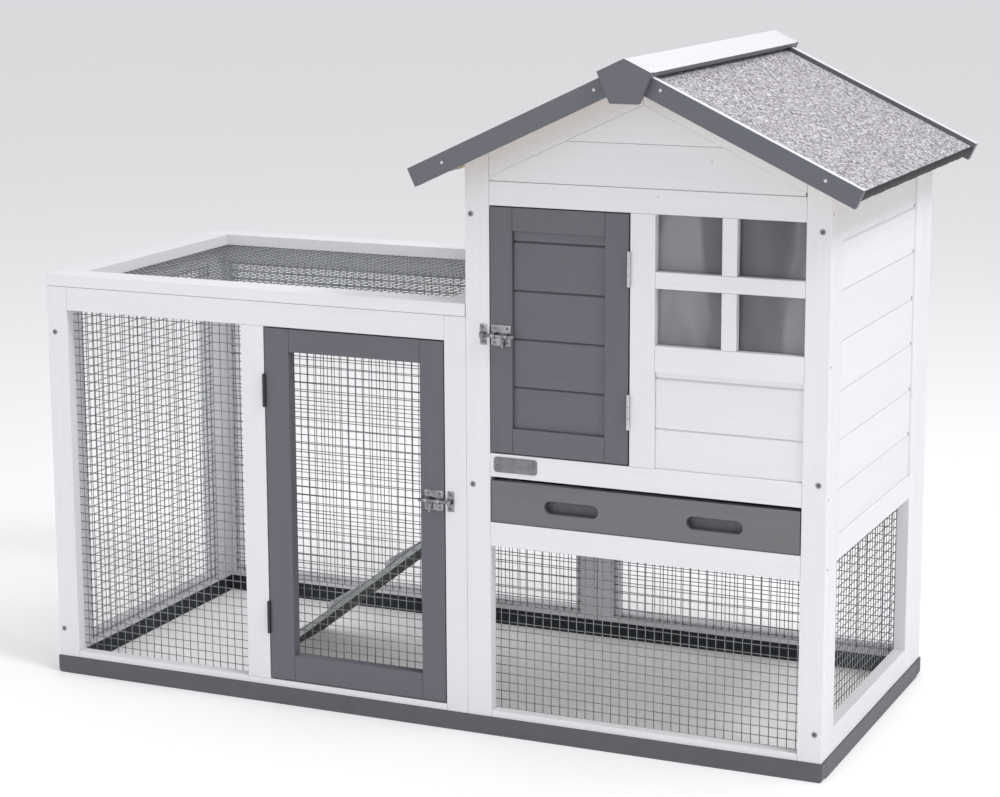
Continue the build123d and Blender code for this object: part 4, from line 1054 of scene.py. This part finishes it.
def strap(p, x0, x1, zc, mat):
    """Pressed strap over the rod: an arched band with feet, 1.2 mm thick."""
    n = 14
    ro, ri = ROD + 1.6, ROD + 0.4
    outer, inner = [], []
    for k in range(n + 1):
        a = math.pi * k / n
        outer.append((BY - ro * math.sin(a), zc - ro * math.cos(a)))
        inner.append((BY - ri * math.sin(a), zc - ri * math.cos(a)))
    out = [(-0.9, zc - ro)] + outer + [(-0.9, zc + ro)]
    inn = [(-0.9, zc - ri)] + inner + [(-0.9, zc + ri)]
    bm = bmesh.new()
    rows = []
    for x in (x0, x1):
        rows.append(([bm.verts.new(P(x, y, z)) for y, z in out], [bm.verts.new(P(x, y, z)) for y, z in inn]))
    m_ = len(out)
    (oa, ia), (ob, ib) = rows
    for k in range(m_ - 1):
        bm.faces.new((oa[k], oa[k + 1], ob[k + 1], ob[k]))
        bm.faces.new((ia[k], ib[k], ib[k + 1], ia[k + 1]))
        bm.faces.new((oa[k], ia[k], ia[k + 1], oa[k + 1]))
        bm.faces.new((ob[k], ob[k + 1], ib[k + 1], ib[k]))
    bm.faces.new((oa[0], ob[0], ib[0], ia[0]))
    bm.faces.new((oa[-1], ia[-1], ib[-1], ob[-1]))
    bmesh.ops.recalc_face_normals(bm, faces=bm.faces[:])
    p.add(bm, mat, smooth=False)


def bolt(tag, body, bolt_body, lever_body, xe, xk, s, zc):
    p = Piece(tag + "_bolt_base")
    xa_, xb_ = sorted((xe, xe - s * 29.0))
    p.prism(rounded(xa_, xb_, zc - 14.5, zc + 14.5, 1.6, 3), "y", -1.0, 0, M_ZINC, bev=0.25, seg=2)
    for off in (2.5, 21.5):
        a, b = sorted((xe - s * off, xe - s * (off + 5)))
        strap(p, a, b, zc, M_ZINC)
    for dx in (5.0, 24.0):
        for dz in (-10.2, 10.2):
            screw(p, xe - s * dx, -1.0, zc + dz, 2.3, 0.9, turn=rnd.random() * 1.5)
    p.done(body, (tag + "_bolt_plate",), wn=False)
    p = Piece(tag + "_bolt_bar")
    t0, t1 = xk + s * 1.2, xk + s * (1.2 - 44.0)
    xs_ = [t0, t0 - s * .02, t0 - s * .9, t1 + s * .9, t1 + s * .02, t1]
    p.tube([(x, BY, zc) for x in xs_], [1.5, 1.6, ROD, ROD, 1.6, 1.5], M_ZINC, n=20)
    p.done(bolt_body, (tag + "_bolt_rod",), wn=False)
    p = Piece(tag + "_bolt_lever_arm")
    xl = xk + s * (1.2 - 27.0)
    bm = bmesh.new()
    n = 20
    prof = [(ROD + .02, xl - 1.6), (ROD + 1.0, xl - 1.6), (ROD + 1.3, xl - 1.3), (ROD + 1.3, xl + 1.3), (ROD + 1.0, xl + 1.6), (ROD + .02, xl + 1.6)]
    rings = [[bm.verts.new(P(x, BY + r * math.cos(2 * math.pi * k / n), zc + r * math.sin(2 * math.pi * k / n))) for k in range(n)] for r, x in prof]
    for i in range(len(rings)):
        a, b = rings[i], rings[(i + 1) % len(rings)]
        for k in range(n):
            bm.faces.new((a[k], a[(k + 1) % n], b[(k + 1) % n], b[k]))
    bmesh.ops.recalc_face_normals(bm, faces=bm.faces[:])
    p.add(bm, M_ZINC)
    p.tube([(xl, BY, zc - ROD - .6), (xl, BY, zc - 6), (xl, BY, zc - 10.5), (xl, BY, zc - 12.5)], [1.35, 1.3, 1.35, 1.7], M_ZINC, n=14)
    # rounded ball end
    path, rad = [], []
    for k in range(9):
        a = math.pi * k / 8
        path.append((xl, BY, zc - 14.0 + 2.95 * math.cos(a)))
        rad.append(max(0.25, 2.0 * math.sin(a) + 0.25))
    p.tube(path, rad, M_ZINC, n=16)
    p.done(lever_body, (tag + "_bolt_lever",), wn=False)
    p = Piece(tag + "_bolt_keeper_plate")
    xa_, xb_ = sorted((xk, xk + s * 10.0))
    p.prism(rounded(xa_, xb_, zc - 14.5, zc + 14.5, 1.2, 3), "y", -1.0, 0, M_ZINC, bev=0.25, seg=2)
    a, b = sorted((xk + s * 2.5, xk + s * 7.5))
    strap(p, a, b, zc, M_ZINC)
    for dz in (-10.2, 10.2):
        screw(p, xk + s * 5, -1.0, zc + dz, 2.3, 0.9, turn=rnd.random() * 1.5)
    p.done("root", (tag + "_bolt_keeper",), wn=False)


bolt("run", "run_door", "run_bolt", "run_lever", X_P3A - 2.5, X_P3A + 4.0, 1, 306.0)
bolt("house", "house_door", "house_bolt", "house_lever", X_H1 + 3.2, X_H1 - 3.8, -1, 547.0)

# ------------------------------------------------------------------ floor, light, camera
me = bpy.data.meshes.new("floor")
R = 45.0
me.from_pydata([(-R, -R, 0), (R, -R, 0), (R, R, 0), (-R, R, 0)], [], [(0, 1, 2, 3)])
floor = bpy.data.objects.new("floor", me)
bpy.context.scene.collection.objects.link(floor)
m, nt, bs = new_mat("pale_floor")
bs.inputs["Base Color"].default_value = (0.86, 0.86, 0.865, 1)
bs.inputs["Roughness"].default_value = 0.75
bs.inputs["Emission Color"].default_value = (1, 1, 1, 1)
bs.inputs["Emission Strength"].default_value = 0.17
me.materials.append(m)

w = bpy.data.worlds.new("studio")
bpy.context.scene.world = w
w.use_nodes = True
w.node_tree.nodes["Background"].inputs[0].default_value = (0.97, 0.98, 1.0, 1)
w.node_tree.nodes["Background"].inputs[1].default_value = 0.62


def area(name, loc, target, size, power, color=(1, 1, 1)):
    d = bpy.data.lights.new(name, "AREA")
    d.shape = "RECTANGLE"
    d.size, d.size_y = size
    d.energy = power
    d.color = color
    o = bpy.data.objects.new(name, d)
    o.location = loc
    o.rotation_euler = (Vector(target) - Vector(loc)).to_track_quat("-Z", "Y").to_euler()
    bpy.context.scene.collection.objects.link(o)
    return o


area("key_right", (2.9, -1.0, 3.9), (0.3, 0, 0.45), (1.3, 1.3), 90)
area("top_soft", (0.6, 0.2, 3.6), (0.2, 0, 0.4), (3.2, 2.4), 31)
area("front_fill", (-1.6, -4.2, 1.9), (0, 0, 0.4), (3.0, 2.2), 26)

# camera: place and angles from a fit to the object's corners, in the working frame
cx, cy, cz = 2106.82, -3063.541, 1170.919
yaw, pitch, roll, fpx, ppy = -0.421078, -0.189591, -0.004244, 2504.876, 350.0
d = Vector((math.sin(yaw) * math.cos(pitch), math.cos(yaw) * math.cos(pitch), math.sin(pitch)))
r_ = d.cross(Vector((0, 0, 1))).normalized()
u_ = r_.cross(d)
r2 = math.cos(roll) * r_ + math.sin(roll) * u_
u2 = -math.sin(roll) * r_ + math.cos(roll) * u_
cam = bpy.data.cameras.new("camera")
cam.sensor_fit = "HORIZONTAL"
cam.sensor_width = 36.0
cam.lens = fpx * 36.0 / 1000.0
cam.shift_x = 0.0
cam.shift_y = -(398.5 - ppy) / 1000.0
cam.clip_start = 0.05
cam.clip_end = 120
co = bpy.data.objects.new("camera", cam)
co.matrix_world = Matrix.Translation(P(cx, cy, cz)) @ Matrix((
    (r2.x, u2.x, -d.x, 0), (r2.y, u2.y, -d.y, 0), (r2.z, u2.z, -d.z, 0), (0, 0, 0, 1)))
bpy.context.scene.collection.objects.link(co)
bpy.context.scene.camera = co
try:
    bpy.context.scene.view_settings.view_transform = "Standard"
except TypeError:
    pass
